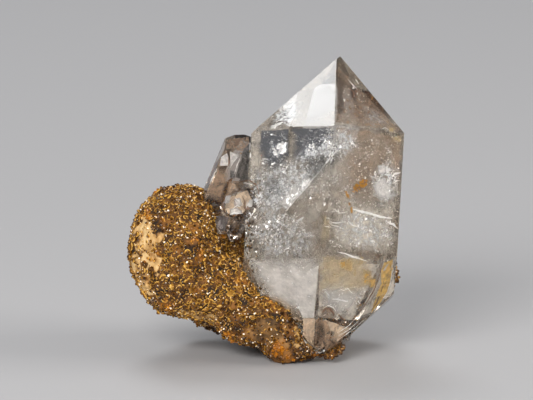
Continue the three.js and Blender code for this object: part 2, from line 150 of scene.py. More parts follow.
# Cracks seen nearly edge on, by kind, and among the brown ones some dark lines of painted shade. A crack is a
# depth and a half width in mm, and a line of pixels.
CRACKS = {
    "quartz_cracks": {
        "shader": {"Base_Color": (0.97, 0.97, 0.96, 1), "Roughness": 0.35, "Metallic": 0.3},
        "lines": [
            (0.6, 0.26, [(353, 209), (362, 211.5), (377, 216), (392, 218.5)]),
            (0.5, 0.24, [(387, 222.5), (393.5, 224.5), (398, 228.5)]),
            (0.8, 0.1, [(332, 208), (340, 213), (348, 212)]),
            (0.8, 0.12, [(330, 221.5), (335.5, 223), (342.5, 222.5)]),
            (0.8, 0.1, [(330.5, 224.5), (337, 226.5), (343, 228.5)]),
            (0.8, 0.12, [(349, 222), (352, 225), (360.5, 228)]),
            (0.8, 0.14, [(368, 233), (367.3, 238)]),
            (0.8, 0.18, [(370.5, 241), (374.5, 241.5)]),
            (0.3, 0.26, [(325, 291), (328.4, 294.5), (329, 298)]),
            (0.3, 0.12, [(340, 289), (344, 290.6), (347.6, 288), (352.5, 293.5)]),
            (0.3, 0.18, [(332, 299), (341, 300), (348, 302)]),
            (0.3, 0.14, [(358, 301), (360, 304)]),
            (0.3, 0.12, [(323, 308.6), (328, 305.4), (333, 307.6), (336, 311.4)]),
            (0.3, 0.1, [(320, 316.6), (325, 314.6), (329, 316.6)]),
            (0.7, 0.2, [(291, 305), (295, 298), (301, 290)]),
            (0.5, 0.16, [(347.5, 79), (352, 84), (357.5, 89.5)]),
            (0.45, 0.18, [(351, 83), (354, 87.4), (352, 88.4)]),
            (0.3, 0.16, [(355, 79), (359, 84)]),
            (0.4, 0.16, [(343.4, 99), (345, 102)]),
            (0.4, 0.1, [(357, 95.5), (358, 92)]),
            (1.0, 0.4, [(375, 183), (381, 181.5), (385, 184.5)]),
            (1.0, 0.35, [(376, 192), (384, 191), (388.5, 198)]),
            (1.0, 0.4, [(378.5, 171.5), (382.5, 169.5)]),
            (0.6, 0.2, [(392.5, 175), (396.5, 173.5), (400.5, 172)]),
            (0.6, 0.16, [(393, 183.5), (396.5, 181), (400, 180.5)]),
            (0.8, 0.14, [(382, 129), (385, 127.5), (389, 130)]),
            (0.8, 0.12, [(384.5, 147), (387, 149), (390, 147.5)]),
            (1.4, 0.7, [(273, 152), (278, 148), (284, 147)]),
            (1.4, 0.15, [(268, 143), (269, 148)]),
            (1.2, 0.2, [(281, 133), (284, 138)]),
            (1.6, 0.35, [(309, 152), (312, 147), (316, 150)]),
            (1.4, 0.3, [(318, 139), (322, 142)]),
            (0.6, 0.4, [(270.5, 129), (276, 125), (283, 122)]),
            (0.6, 0.35, [(282, 118.5), (288, 116), (293, 110), (295, 104)]),
            (0.6, 0.3, [(288, 121.5), (293, 119.5)]),
            (1.5, 0.2, [(345, 141.5), (330, 158), (312, 180), (286, 211)]),
            (1.2, 0.2, [(270, 180), (271.5, 184)]),
            (1.2, 0.18, [(281, 219), (284, 216.5), (285.5, 213)]),
            (1.2, 0.2, [(297, 221), (301, 219), (304, 217)]),
            (1.0, 0.16, [(281.5, 258), (284, 263)]),
            (0.4, 0.15, [(337, 252), (345, 253.6), (356, 257.6), (368, 261.5)]),
            (0.1, 0.42, [(303, 338), (308, 345), (313, 350), (320, 352.6), (325, 350.5)]),
            (0.3, 0.16, [(216, 168), (213, 176), (210, 184)]),
            (0.3, 0.12, [(240, 158), (237, 166), (234, 174)]),
            (0.35, 0.14, [(238, 157), (233, 162), (230, 168)]),
            (0.25, 0.12, [(230, 189), (238, 184), (246, 183), (252, 185)]),
            (0.3, 0.22, [(250, 152), (250.5, 158)]),
            (0.3, 0.14, [(257, 209), (251, 216), (245, 224)]),
            (0.2, 0.16, [(230, 214), (236, 213), (243, 213.5)]),
            (0.2, 0.2, [(226, 203), (228, 198), (231, 195.5)]),
            (0.15, 0.1, [(233, 209), (237.4, 205), (241, 207.6)]),
            (0.15, 0.1, [(235, 197), (239.6, 202)]),
            (0.15, 0.12, [(247, 201), (246, 208)]),
            (0.2, 0.16, [(392, 263), (391, 279), (387, 292), (377, 307)]),
            (0.2, 0.1, [(366, 318), (354, 329), (341, 338)]),
            (0.2, 0.09, [(361, 318), (350, 329), (338, 336)]),
            (0.2, 0.08, [(356, 318), (346, 328), (337, 333)]),
        ],
    },
    "quartz_brown_cracks_and_shade": {
        "shader": {"Base_Color": (0.2, 0.1, 0.05, 1), "Roughness": 0.35, "Metallic": 0.0},
        "lines": [
            # Painted shade: this first line darkens the edge where the ledges on the lower right step in
            (0.3, 0.14, [(382, 264), (379, 277), (374, 290), (366, 304), (355, 318)]),
            (0.15, 0.16, [(384, 281), (381, 291), (377, 302), (371, 311)]),
            (0.25, 0.06, [(377, 290), (369, 305), (359, 319), (350, 328)]),
            (0.2, 0.07, [(369, 312), (358, 323), (346, 333), (338, 339)]),
            (0.25, 0.05, [(363, 312), (353, 322), (343, 331)]),
            # Painted shadow: these four lines darken where the foot crystal meets the big crystal's lower
            # right face
            (0.3, 0.2, [(336, 320), (338.5, 323.5), (341, 325)]),
            (0.3, 0.24, [(322, 313), (325.4, 308.6), (330, 308.4), (333.4, 313), (334, 316)]),
            (0.3, 0.16, [(338, 314), (341.5, 317.5), (344.5, 321)]),
            (0.25, 0.12, [(341, 322), (345, 325), (349, 327.5)]),
            (0.3, 0.12, [(227, 190), (233, 185.5), (241, 181.5), (249, 180.5), (256, 184), (259, 191),
                (257.5, 199)]),
            (0.2, 0.1, [(232, 193), (238, 190), (246, 188)]),
            (0.2, 0.05, [(232, 199), (236, 204), (235, 210)]),
            (0.2, 0.07, [(241, 194), (245, 202), (243.6, 211)]),
            (0.2, 0.3, [(244, 208.5), (247, 208), (250, 209)]),
            (0.3, 0.16, [(228.6, 157), (229, 162), (228, 167)]),
            (0.25, 0.05, [(319.5, 262), (319, 285), (317.5, 305)]),
            (0.26, 0.12, [(355, 190), (358, 187.4), (361.5, 187)]),
            (0.26, 0.1, [(362, 184.6), (365, 183), (366.6, 181.4)]),
            (0.5, 0.36, [(350.5, 89), (353.5, 92.5), (353, 98)]),
            (0.5, 0.2, [(355, 90), (356.5, 93)]),
            (0.5, 0.16, [(367.4, 113.6), (369.6, 112)]),
            (0.26, 0.06, [(347, 194.4), (348.4, 197.6)]),
            (0.26, 0.12, [(349.2, 203.2), (350, 205)]),
        ],
    },
}

# An oval area of the photograph, by the pixel of its centre and its half width and half height in pixels
Oval = namedtuple("Oval", "centre half")
CLEAR_WINDOWS = [Oval((274, 147), (15, 17)), Oval((313, 137), (19, 10)), Oval((319, 104), (15, 20))]

# Haze: specks from just under the front face to a share of the way through the quartz. The first covers the
# whole crystal, and the others keep to their ovals.
Haze = namedtuple("Haze", "centre half far specks oval")
HAZE = [
    Haze((322, 205), (84, 150), 0.3, 26000, False),
    Haze((285, 275), (42, 28), 0.2, 5000, True),
    Haze((355, 240), (45, 30), 0.2, 5000, True),
]

# How something is clouded: the noise's scale and detail, and how thick it is where the noise is low and high
Clouds = namedtuple("Clouds", "scale detail low high thin thick")

# Panes: thin closed sheets in the quartz, each under one of its front faces. depth is behind the face in mm,
# rag is how far the outline wanders in pixels, share is how full its clouds are and corners are pixels.
Pane = namedtuple("Pane", "depth rag share corners soft crisp", defaults=(False, ()))


def soft(depth, rag, share, corners, crisp=()):
    """A pane that thins out towards its outline, apart from the sides that start at its crisp corners."""
    return Pane(depth, rag, share, corners, True, crisp)


PANES = {
    "quartz_air_cracks": {
        "shader": {"Base_Color": (0.74, 0.76, 0.8, 1), "Roughness": 0.05, "Metallic": 1.0},
        "clouds": Clouds(900, 6, 0.36, 0.48, 0.25, 0.95),
        "panes": [
            soft(1.1, 1.2, 1, [(262, 130.5), (288, 129.5), (288, 158), (284, 168), (272, 172), (262, 168),
                (259, 152)], crisp=(0, 1, 6)),
            soft(1.3, 1.2, 1, [(292, 129), (331, 128), (334, 140), (326, 150), (312, 157), (303, 162),
                (292, 163)], crisp=(0, 1)),
        ],
    },
    "quartz_ice": {
        "shader": {"Base_Color": (0.95, 0.975, 1.0, 1), "Roughness": 0.4},
        "clouds": Clouds(1300, 8, 0.47, 0.57, 0.03, 0.9),
        "panes": [
            soft(0.8, 2, 1, [(268, 147), (278, 141), (288, 143), (288, 153), (280, 159), (268, 156)]),
            soft(0.8, 2, 1, [(298, 153), (309, 142), (318, 146), (327, 138), (333, 144), (332, 157),
                (316, 157), (305, 163), (292, 160)]),
            soft(1.8, 3, 1, [(331, 140), (331, 158), (286, 212), (270, 226), (250, 218), (251, 168),
                (290, 158)], crisp=(0, 1)),
            Pane(1.8, 0.3, 1, [(335, 143), (346, 141), (335, 154)]),
            soft(1.4, 1.0, 1, [(330, 158), (312, 179.5), (286, 210), (278, 208), (296, 186),
                (314, 162)], crisp=(0, 1)),
            soft(1.2, 5, 0.7, [(262, 176), (300, 172), (282, 208), (262, 210)]),
            soft(1.2, 8, 0.6, [(247, 226), (272, 212), (304, 218), (322, 240), (306, 262), (262, 262)]),
            soft(1.0, 7, 1, [(368, 176), (386, 156), (401, 170), (397, 202), (380, 210)]),
            soft(1.4, 8, 0.6, [(330, 222), (352, 208), (382, 214), (398, 236), (372, 254), (342, 246)]),
            soft(1.2, 3, 1, [(337, 126), (352, 128), (356, 146), (346, 158), (337, 152)]),
            soft(0.7, 2.5, 1, [(268, 110), (280, 98), (298, 98), (297, 122), (270, 125)]),
            soft(0.9, 3, 0.35, [(362, 104), (376, 108), (392, 126), (376, 128), (364, 120)]),
            soft(0.8, 6, 0.7, [(322, 284), (340, 280), (362, 288), (352, 306), (324, 308)]),
        ],
    },
    "quartz_frost": {
        "shader": {"Base_Color": (1.0, 0.97, 0.93, 1), "Roughness": 0.7},
        "clouds": Clouds(420, 8, 0.34, 0.64, 0.4, 0.92),
        "panes": [
            soft(0.35, 0.2, 1, [(247, 257), (284, 260), (318, 255), (318.6, 266), (314, 318), (302, 318),
                (268, 304)], crisp=(3, 4)),
            soft(0.5, 1.5, 0.6, [(321, 286), (344, 284), (370, 288), (352, 312), (338, 320), (319, 312)]),
        ],
    },
    "quartz_milk_and_highlight": {
        "shader": {"Base_Color": (0.96, 0.94, 0.92, 1), "Roughness": 0.35},
        "clouds": Clouds(1500, 6, 0.35, 0.6, 0.5, 0.95),
        "panes": [
            Pane(0.3, 0.5, 1, [(221, 157), (227, 153), (228.6, 157), (228, 166), (220, 166)]),
            Pane(0.3, 0.5, 1, [(230, 151.5), (238, 155), (236, 160), (230.5, 166)]),
            # Partly painted highlight: these four panes at the small crook crystal are thick in place of the
            # front light's reflection there
            Pane(0.2, 0.3, 1, [(224, 203), (226, 196), (231, 195), (229, 203)]),
            soft(0.25, 0.8, 1, [(229, 209), (236, 207), (243, 210), (243, 214), (230, 215)]),
            soft(0.25, 1.2, 1, [(233, 200), (240, 197), (243, 206), (235, 208)]),
            Pane(0.16, 0.4, 1, [(226, 196), (231, 195), (229, 203), (225, 204)]),
            soft(0.6, 1.2, 0.75, [(303, 188), (286, 210.5), (277, 208), (288, 190),
                (298, 179)], crisp=(0,)),
            soft(0.6, 2.0, 0.75, [(370, 185), (384, 176), (393, 185), (391, 201), (377, 199)]),
            soft(0.6, 1.0, 1, [(377, 165), (386, 163), (387, 174), (378, 175)]),
            # Partly painted highlight: a milky pane at the small crook crystal, thick in place of the front
            # light's reflection
            Pane(0.2, 0.3, 1, [(249.5, 200), (253, 199.5), (252, 207), (246, 208)]),
        ],
    },
    # Painted shade: dark grey sheets that darken the quartz where it looks through to dark surroundings
    "quartz_shade_grey": {
        "shader": {"Base_Color": (0.1, 0.1, 0.1, 1), "Roughness": 0.3},
        "clouds": Clouds(900, 6, 0.38, 0.6, 0.3, 0.85),
        "panes": [
            Pane(0.4, 0.4, 1, [(244, 147), (249.5, 144), (248.6, 160), (247.6, 180), (240, 179),
                (235.5, 177), (241, 159)]),
            soft(0.4, 0.8, 1, [(230, 170), (236, 171), (235, 179), (230, 178)]),
            soft(1.0, 5, 0.5, [(302, 158), (345, 144), (338, 166), (312, 182), (296, 172)]),
            soft(1.2, 1.0, 0.55, [(266, 129), (278, 116), (298, 98), (302, 106), (296, 118), (284, 128)]),
            soft(1.0, 5, 0.35, [(262, 178), (278, 172), (284, 190), (268, 204)]),
        ],
    },
    "quartz_smoke": {
        "shader": {"Base_Color": (0.9, 0.84, 0.75, 1), "Roughness": 0.8},
        "clouds": Clouds(420, 9, 0.4, 0.6, 0.16, 0.74),
        "panes": [
            soft(2.2, 4, 1, [(337, 196), (400, 200), (396, 252), (384, 257), (328, 250)]),
            Pane(0.9, 0.6, 1, [(320, 262), (380, 264), (352, 320), (318, 316)]),
            Pane(0.3, 0.4, 1, [(356, 318), (388, 262), (393, 262), (394, 290), (372, 312)]),
            soft(0.5, 0.8, 0.6, [(252, 131), (261, 131), (260, 170), (251, 184), (250, 150)], crisp=(0,)),
        ],
    },
    "quartz_blush_and_highlight": {
        "shader": {"Base_Color": (0.94, 0.76, 0.57, 1), "Roughness": 0.6},
        "clouds": Clouds(500, 8, 0.36, 0.6, 0.4, 0.9),
        "panes": [
            Pane(0.3, 0.2, 1, [(303.5, 318.5), (315, 318.5), (313.8, 346), (307, 341), (302.5, 334)]),
            soft(0.3, 1.2, 0.8, [(325, 319.5), (333, 322), (341, 326), (336, 334),
                (329, 332)], crisp=(0, 1)),
            soft(0.45, 0.8, 0.8, [(336, 322), (349, 327), (349, 331), (336, 343),
                (330, 340)], crisp=(1, 2)),
            # Partly painted highlight: a blush pane over the small crook crystal, thick in place of the front
            # light's reflection
            Pane(0.5, 0.8, 1, [(225, 206), (231, 196), (247, 190), (252, 200), (243, 213), (228, 213)]),
            soft(0.3, 3.0, 0.5, [(262, 292), (284, 298), (300, 314), (300, 320), (284, 318),
                (266, 306)], crisp=(3, 4)),
        ],
    },
    "quartz_mauve": {
        "shader": {"Base_Color": (0.3, 0.27, 0.27, 1), "Roughness": 0.4},
        "clouds": Clouds(900, 7, 0.36, 0.6, 0.4, 0.9),
        "panes": [
            Pane(0.3, 0.4, 1, [(216, 216), (229, 217), (228, 222), (224, 232), (220, 230), (214, 222)]),
        ],
    },
    "quartz_tan_smoke": {
        "shader": {"Base_Color": (0.52, 0.365, 0.245, 1), "Roughness": 0.6},
        "clouds": Clouds(900, 8, 0.38, 0.58, 0.3, 0.92),
        "panes": [
            soft(0.5, 0.6, 0.95, [(219, 168), (229, 168), (229, 180), (226, 188), (222, 203),
                (204, 198)], crisp=(5,)),
            Pane(0.4, 0.3, 0.8, [(228, 139), (249, 137), (249, 143), (243, 151), (226, 149)]),
            Pane(0.5, 0.4, 1, [(229, 181), (240, 181), (247, 182), (235, 192), (224, 204)]),
            Pane(0.3, 0.3, 1, [(316, 319.5), (326, 320), (331, 332), (328, 344), (321, 349.5),
                (314.4, 346)]),
            soft(0.4, 1.6, 0.5, [(319, 306), (331, 304), (340, 315), (334, 320), (318, 319)]),
            soft(0.45, 2.5, 0.6, [(258, 290), (274, 293), (300, 314), (300, 321), (284, 319),
                (262, 302)], crisp=(3, 4)),
            Pane(0.4, 0.6, 1, [(330, 338), (345, 330), (342, 342), (330, 352), (324, 350)]),
            Pane(1.4, 0.6, 0.5, [(338, 66), (345, 74), (400, 131), (336, 122)]),
            soft(1.8, 3, 0.42, [(336, 128), (401, 138), (399, 190), (372, 206), (336, 200)], crisp=(0, 1)),
        ],
    },
    "quartz_yellow_films": {
        "shader": {"Base_Color": (0.96, 0.76, 0.42, 1), "Roughness": 0.6},
        "clouds": Clouds(260, 8, 0.35, 0.62, 0.08, 0.46),
        "panes": [
            soft(0.4, 5.0, 0.72, [(323, 257), (370, 262), (377, 284), (352, 296),
                (320, 290)], crisp=(0, 4)),
            soft(0.5, 1.5, 1, [(340, 261), (352, 261), (352, 272), (342, 270)]),
            soft(0.5, 1.5, 1, [(363, 270), (371, 270), (376, 288), (366, 286)]),
            soft(1.2, 4.0, 0.5, [(324, 214), (331, 216), (328, 248), (320, 244)]),
            soft(0.3, 0.8, 1, [(388, 126.5), (395, 127), (394, 134), (388, 133)]),
            soft(0.3, 0.8, 1, [(392, 136), (402, 135.5), (401.5, 143), (393, 141)]),
        ],
    },
    "quartz_rust_films": {
        "shader": {"Base_Color": (0.92, 0.62, 0.17, 1), "Roughness": 0.6},
        "clouds": Clouds(700, 8, 0.38, 0.58, 0.35, 0.9),
        "panes": [
            Pane(0.2, 0.5, 1, [(384, 263), (393, 259), (392.5, 270), (389, 287), (383, 290), (381, 280),
                (381.5, 270)]),
            Pane(0.15, 0.5, 0.8, [(390, 282), (387, 292), (380, 303), (371, 312.6), (374, 303), (378, 292),
                (381, 284)]),
            soft(0.3, 1.2, 0.6, [(339, 261), (346, 260), (347, 270), (340, 270)]),
            soft(0.3, 1.2, 0.4, [(345, 260), (354, 260), (353, 271), (346, 272)]),
            soft(0.3, 1.2, 0.5, [(362, 268), (371, 269), (371, 286), (363, 286)]),
            soft(0.3, 1.2, 0.6, [(369, 277), (377, 277), (377, 289), (370, 289)]),
        ],
    },
    "quartz_rust": {
        "shader": {"Base_Color": (0.46, 0.21, 0.002, 1), "Roughness": 0.7},
        "clouds": Clouds(1700, 5, 0.46, 0.49, 0.0, 1.0),
        "panes": [
            Pane(0.3, 1.6, 1, [(360, 182), (364, 179), (369, 180), (368, 185), (364, 188), (360, 187)]),
            Pane(0.3, 1.6, 1, [(352.4, 187), (357, 183.4), (361.6, 184.6), (361, 190), (356, 193),
                (352.4, 192)]),
            Pane(0.32, 0.5, 1, [(359.6, 183.4), (362.6, 183.6), (362, 187.4), (359, 188)]),
            Pane(0.3, 0.8, 1, [(344.6, 191), (347, 191.4), (350.6, 199.4), (348, 200.4)]),
            Pane(0.3, 0.5, 1, [(348.4, 202.4), (351, 202.4), (351, 205.4), (348.6, 205.4)]),
            Pane(0.3, 0.6, 1, [(350.4, 206.8), (352.3, 206.8), (352.8, 212.8), (350.8, 213.2)]),
            Pane(0.3, 0.25, 1, [(371, 97.6), (373, 97.4), (373, 99.6), (371.2, 99.6)]),
        ],
    },
    # Dark brown blotches, and some panes of painted shade where marked
    "quartz_blotches_and_shade": {
        "shader": {"Base_Color": (0.13, 0.08, 0.045, 1), "Roughness": 0.6},
        "clouds": Clouds(900, 8, 0.42, 0.6, 0.1, 0.75),
        "panes": [
            soft(0.7, 0.8, 1, [(349, 90), (356, 89), (357, 98), (351, 99)]),
            Pane(0.7, 0.25, 1, [(367.4, 112.2), (369.6, 112.2), (369.6, 114.6), (367.6, 114.4)]),
            Pane(0.7, 0.25, 1, [(370.2, 105.8), (372, 105.8), (371.8, 107.8), (370.2, 107.8)]),
            # Painted shade: darkens the left edge of the upper right face, along the apex ridge
            soft(1.0, 1.0, 1, [(338, 72), (345, 80), (344, 112), (337, 120)]),
            soft(1.8, 1.0, 0.45, [(339, 64), (346, 72), (396, 128), (372, 128), (340, 122)]),
            soft(0.26, 0.6, 0.95, [(315.8, 320), (324, 321.6), (326.6, 334), (321, 347),
                (314.4, 345)], crisp=(4,)),
            Pane(0.3, 0.6, 0.8, [(232, 217), (241, 217), (241, 228), (236, 232), (230, 226)]),
            # Painted shade: these two darken the left part of the upper left face
            soft(0.9, 1.2, 0.5, [(256, 127), (266, 114), (287, 96), (292, 101), (290, 126)]),
            soft(0.9, 1.0, 1, [(276, 118), (287, 113), (288, 124), (275, 125)]),
            # Painted shade: darkens the left edge of the upper right face, along the apex ridge
            soft(0.6, 0.5, 1, [(337.6, 66), (342, 72), (342.4, 117), (337.2, 121)], crisp=(3,)),
            soft(0.5, 0.6, 1, [(350, 86), (356.6, 89), (355, 99), (350.6, 100)]),
        ],
    },
}


def new_object(name, data):
    made = bpy.data.objects.new(name, data)
    bpy.context.scene.collection.objects.link(made)
    return made


def add_piece(name, mesh):
    """A piece of the specimen, which rides on its one body."""
    piece = new_object(name, mesh)
    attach(piece, BODY)
    return piece


def make_camera():
    data = bpy.data.cameras.new("camera")
    data.sensor_width = SENSOR_WIDTH_MM
    data.lens = SENSOR_WIDTH_MM * CAMERA_DISTANCE / (PHOTO_WIDTH / PIXELS_PER_MM * MM)
    data.clip_start = CLIP_START
    data.clip_end = CLIP_END
    camera = new_object("camera", data)
    camera.location = CAMERA_PLACE
    camera.rotation_euler = (math.pi / 2 - CAMERA_ELEVATION, 0, 0)
    bpy.context.scene.camera = camera
    bpy.context.view_layer.update()


def mesh_arrays(mesh):
    """The corner points and the triangles of a mesh."""
    mesh.calc_loop_triangles()
    points = np.zeros(len(mesh.vertices) * 3)
    mesh.vertices.foreach_get("co", points)
    triangles = np.zeros(len(mesh.loop_triangles) * 3, np.int32)
    mesh.loop_triangles.foreach_get("vertices", triangles)
    return points.reshape(-1, 3), triangles.reshape(-1, 3)


def tree_of(mesh):
    points, triangles = mesh_arrays(mesh)
    return BVHTree.FromPolygons(points.tolist(), triangles.tolist())


quartz_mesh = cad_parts[QUARTZ_NODE].data
rock_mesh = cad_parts[ROCK_NODE].data
quartz_tree = tree_of(quartz_mesh)


def camera_ray(px, py):
    """The ray that a pixel of the photograph looks along, as where it starts and its direction."""
    right = (px - PHOTO_WIDTH / 2) / PIXELS_PER_MM * MM
    up = (PHOTO_HEIGHT / 2 - py) / PIXELS_PER_MM * MM
    target = CAMERA_AIM + CAMERA_RIGHT * right + CAMERA_UP * up
    return CAMERA_PLACE, (target - CAMERA_PLACE).normalized()


def pixel_of(point):
    """The pixel of the photograph that shows a point."""
    toward = Vector(point) - CAMERA_PLACE
    scale = CAMERA_DISTANCE / toward.dot(CAMERA_FORWARD) * PIXELS_PER_MM / MM
    right = toward.dot(CAMERA_RIGHT) * scale
    up = toward.dot(CAMERA_UP) * scale
    return PHOTO_WIDTH / 2 + right, PHOTO_HEIGHT / 2 - up


def in_oval(px, py, oval):
    """How far out a pixel lies in an oval: 0 at its centre, 1 on its edge."""
    return math.hypot((px - oval.centre[0]) / oval.half[0], (py - oval.centre[1]) / oval.half[1])


def front_hit(px, py):
    """Where a pixel's ray meets the quartz, the face's normal there and the ray's direction."""
    start, direction = camera_ray(px, py)
    place, normal, _, _ = quartz_tree.ray_cast(start, direction)
    if place is None:
        return None
    return place, normal, direction


def refracted(direction, normal):
    """A direction after it has gone from air into quartz."""
    ratio = 1 / QUARTZ_IOR
    toward = -direction.dot(normal)
    along = math.sqrt(1 - ratio * ratio * (1 - toward * toward))
    return (direction * ratio + normal * (ratio * toward - along)).normalized()


def inside(px, py, depth_mm):
    """The point in the quartz that a pixel shows at a depth behind the front face, bent by refraction."""
    hit = front_hit(px, py)
    if hit is None:
        return None
    place, normal, direction = hit
    return place + refracted(direction, normal) * depth_mm * MM


# How far under the face a ray inside the quartz starts
JUST_INSIDE = 0.01 * MM


def way_through(px, py):
    """Where a pixel's ray enters the quartz, its direction inside and how far it goes before it leaves."""
    hit = front_hit(px, py)
    if hit is None:
        return None
    place, normal, direction = hit
    bent = refracted(direction, normal)
    _, _, _, length = quartz_tree.ray_cast(place + bent * JUST_INSIDE, bent)
    if length is None:
        return None
    return place, bent, length


def mirror_place(px, py, distance):
    """Where a light has to be for the face at a pixel to mirror it to the camera."""
    place, normal, direction = front_hit(px, py)
    return place + (direction - 2 * direction.dot(normal) * normal).normalized() * distance


def glint_normal(spot, otherwise):
    """The way that a flake has to face to mirror the front light to the camera, through the front face."""
    hit = front_hit(*pixel_of(spot))
    if hit is None:
        return otherwise
    _, normal, direction = hit
    seen = refracted(direction, normal)
    lit = refracted((CAMERA_AIM - FRONT_LIGHT).normalized(), normal)
    return (seen + lit).normalized()


def waves(spot, pitches, start=0.0):
    """A start value and the noises at a spot, from a list of (pitch in mm, weight)."""
    return sum((noise.noise(spot / (pitch * MM)) * weight for pitch, weight in pitches), start)


def add_node(tree, kind, inputs, **settings):
    """A shader node with its settings, each input set to a value or linked to another node's output."""
    made = tree.nodes.new("ShaderNode" + kind)
    for name, value in settings.items():
        setattr(made, name, value)
    for key, value in inputs.items():
        if isinstance(value, bpy.types.NodeSocket):
            tree.links.new(value, made.inputs[key])
        else:
            made.inputs[key].default_value = value
    return made


def noise_of(tree, scale, detail, roughness=0.5):
    """Noise over the object's own coordinates."""
    place = add_node(tree, "TexCoord", {}).outputs["Object"]
    inputs = {"Vector": place, "Scale": scale, "Detail": detail, "Roughness": roughness}
    return add_node(tree, "TexNoise", inputs).outputs["Fac"]


def tone_of(tree):
    return add_node(tree, "Attribute", {}, attribute_name="tone").outputs["Fac"]


def ramp_of(tree, value, stops):
    """Colours by a value, from a list of (position, colour)."""
    made = add_node(tree, "ValToRGB", {"Fac": value})
    elements = made.color_ramp.elements
    while len(elements) < len(stops):
        elements.new(0.5)
    for element, (position, colour) in zip(elements, stops):
        element.position = position
        element.color = (*colour, 1)
    return made.outputs["Color"]


def mix_of(tree, share, first, second):
    """A colour between two, by the share of the second."""
    made = add_node(tree, "Mix", {}, data_type="RGBA")
    tree.links.new(share, made.inputs["Factor"])
    tree.links.new(first, made.inputs["A"])
    if isinstance(second, tuple):
        made.inputs["B"].default_value = second
    else:
        tree.links.new(second, made.inputs["B"])
    return made.outputs["Result"]


def product_of(tree, first, second):
    return add_node(tree, "Math", {0: first, 1: second}, operation="MULTIPLY").outputs[0]


def plain_shader(name, **sockets):
    """A material, its node tree and its main shader, with the shader's sockets set."""
    material = bpy.data.materials.new(name)
    material.use_nodes = True
    shader = material.node_tree.nodes["Principled BSDF"]
    for socket, value in sockets.items():
        shader.inputs[socket.replace("_", " ")].default_value = value
    return material, material.node_tree, shader


def plain_material(name, **sockets):
    return plain_shader(name, **sockets)[0]


def absorb(tree, colour, density):
    """Fills a material's body with plain absorption."""
    volume = add_node(tree, "VolumeAbsorption", {"Color": (*colour, 1), "Density": density})
    tree.links.new(volume.outputs[0], tree.nodes["Material Output"].inputs["Volume"])


CLOUD_ROUGHNESS = 0.68


def cloud_alpha(tree, shader, clouds):
    """Makes a shader's alpha follow the tone times noise, from thin where it is low to thick."""
    inputs = {
        "Value": noise_of(tree, clouds.scale, clouds.detail, CLOUD_ROUGHNESS),
        "From Min": clouds.low,
        "From Max": clouds.high,
        "To Min": clouds.thin,
        "To Max": clouds.thick,
    }
    thickness = add_node(tree, "MapRange", inputs).outputs["Result"]
    tree.links.new(product_of(tree, thickness, tone_of(tree)), shader.inputs["Alpha"])


def add_light(name, place, across, size, power, colour):
    """A rectangular light that faces the specimen, its width along a given direction."""
    data = bpy.data.lights.new(name, "AREA")
    data.shape = "RECTANGLE"
    data.size, data.size_y = size
    data.energy = power
    data.color = colour
    light = new_object(name, data)
    back = (place - CAMERA_AIM).normalized()
    side = (across - back * across.dot(back)).normalized()
    turn = Matrix((side, back.cross(side), back)).transposed()
    light.matrix_world = Matrix.Translation(place) @ turn.to_4x4()
    return light


def soften_edges(light, band):
    """Makes a light fade out towards its edges, over a share of its width, as a softbox does."""
    light.data.use_nodes = True
    tree = light.data.node_tree
    place = add_node(tree, "NewGeometry", {}).outputs["Parametric"]
    split = add_node(tree, "SeparateXYZ", {0: place})
    fades = []
    for axis in ("X", "Y"):
        centred = add_node(tree, "Math", {0: split.outputs[axis], 1: 0.5}, operation="PINGPONG")
        inputs = {"Value": centred.outputs[0], "From Max": band}
        fades.append(add_node(tree, "MapRange", inputs, interpolation_type="SMOOTHSTEP").outputs["Result"])
    tree.links.new(product_of(tree, *fades), tree.nodes["Emission"].inputs["Strength"])


def make_lights():
    edge = mirror_place(*KEY_EDGE_PIXEL, KEY_DISTANCE)
    inner = mirror_place(*KEY_INNER_PIXEL, KEY_DISTANCE)
    across = (inner - edge).normalized()
    key = add_light("key", edge + across * KEY_SIZE / 2, across, (KEY_SIZE, KEY_SIZE), KEY_POWER, KEY_COLOUR)
    soften_edges(key, KEY_FADE)
    for name, light in LIGHTS.items():
        add_light(name, *light)


def make_world():
    """Soft light from all sides, brighter from above."""
    world = bpy.data.worlds.new("studio")
    bpy.context.scene.world = world
    world.use_nodes = True
    tree = world.node_tree
    tree.nodes.clear()
    place = add_node(tree, "TexCoord", {}).outputs["Generated"]
    height = add_node(tree, "SeparateXYZ", {0: place}).outputs["Z"]
    sky = ramp_of(tree, height, [(0.0, WORLD_BELOW), (1.0, WORLD_ABOVE)])
    background = add_node(tree, "Background", {"Color": sky, "Strength": WORLD_STRENGTH})
    add_node(tree, "OutputWorld", {"Surface": background.outputs[0]})


def mesh_of(bm, name):
    """The mesh of a bmesh, which is freed."""
    mesh = bpy.data.meshes.new(name)
    bm.to_mesh(mesh)
    bm.free()
    return mesh


def give_tones(mesh, tones):
    """Gives each point of a mesh a tone, which its material reads."""
    mesh.attributes.new("tone", "FLOAT", "POINT").data.foreach_set("value", tones)


def make_floor():
    bm = bmesh.new()
    bmesh.ops.create_circle(bm, cap_ends=True, segments=FLOOR_SIDES, radius=FLOOR_RADIUS)
    floor = new_object("floor", mesh_of(bm, "floor"))
    floor.data.materials.append(plain_material("floor", Base_Color=FLOOR_COLOUR, Roughness=0.55))


def whole_faces(mesh):
    """The mesh's flat faces as a bmesh, each in one piece."""
    bm = bmesh.new()
    bm.from_mesh(mesh)
    bmesh.ops.remove_doubles(bm, verts=bm.verts, dist=MERGED)
    bmesh.ops.dissolve_limit(bm, angle_limit=FLAT_ANGLE, verts=bm.verts, edges=bm.edges)
    return bm


def big_planes():
    """The planes of the big crystal's faces, as outward normals and distances from the origin."""
    bm = whole_faces(quartz_mesh)
    planes = []
    for face in bm.faces:
        middle = face.calc_center_median()
        if face.calc_area() > BIG_FACE_AREA and middle.x > BIG_FACE_LEFT and middle.z > BIG_FACE_LOW:
            planes.append((face.normal.copy(), face.normal.dot(middle)))
    bm.free()
    return planes


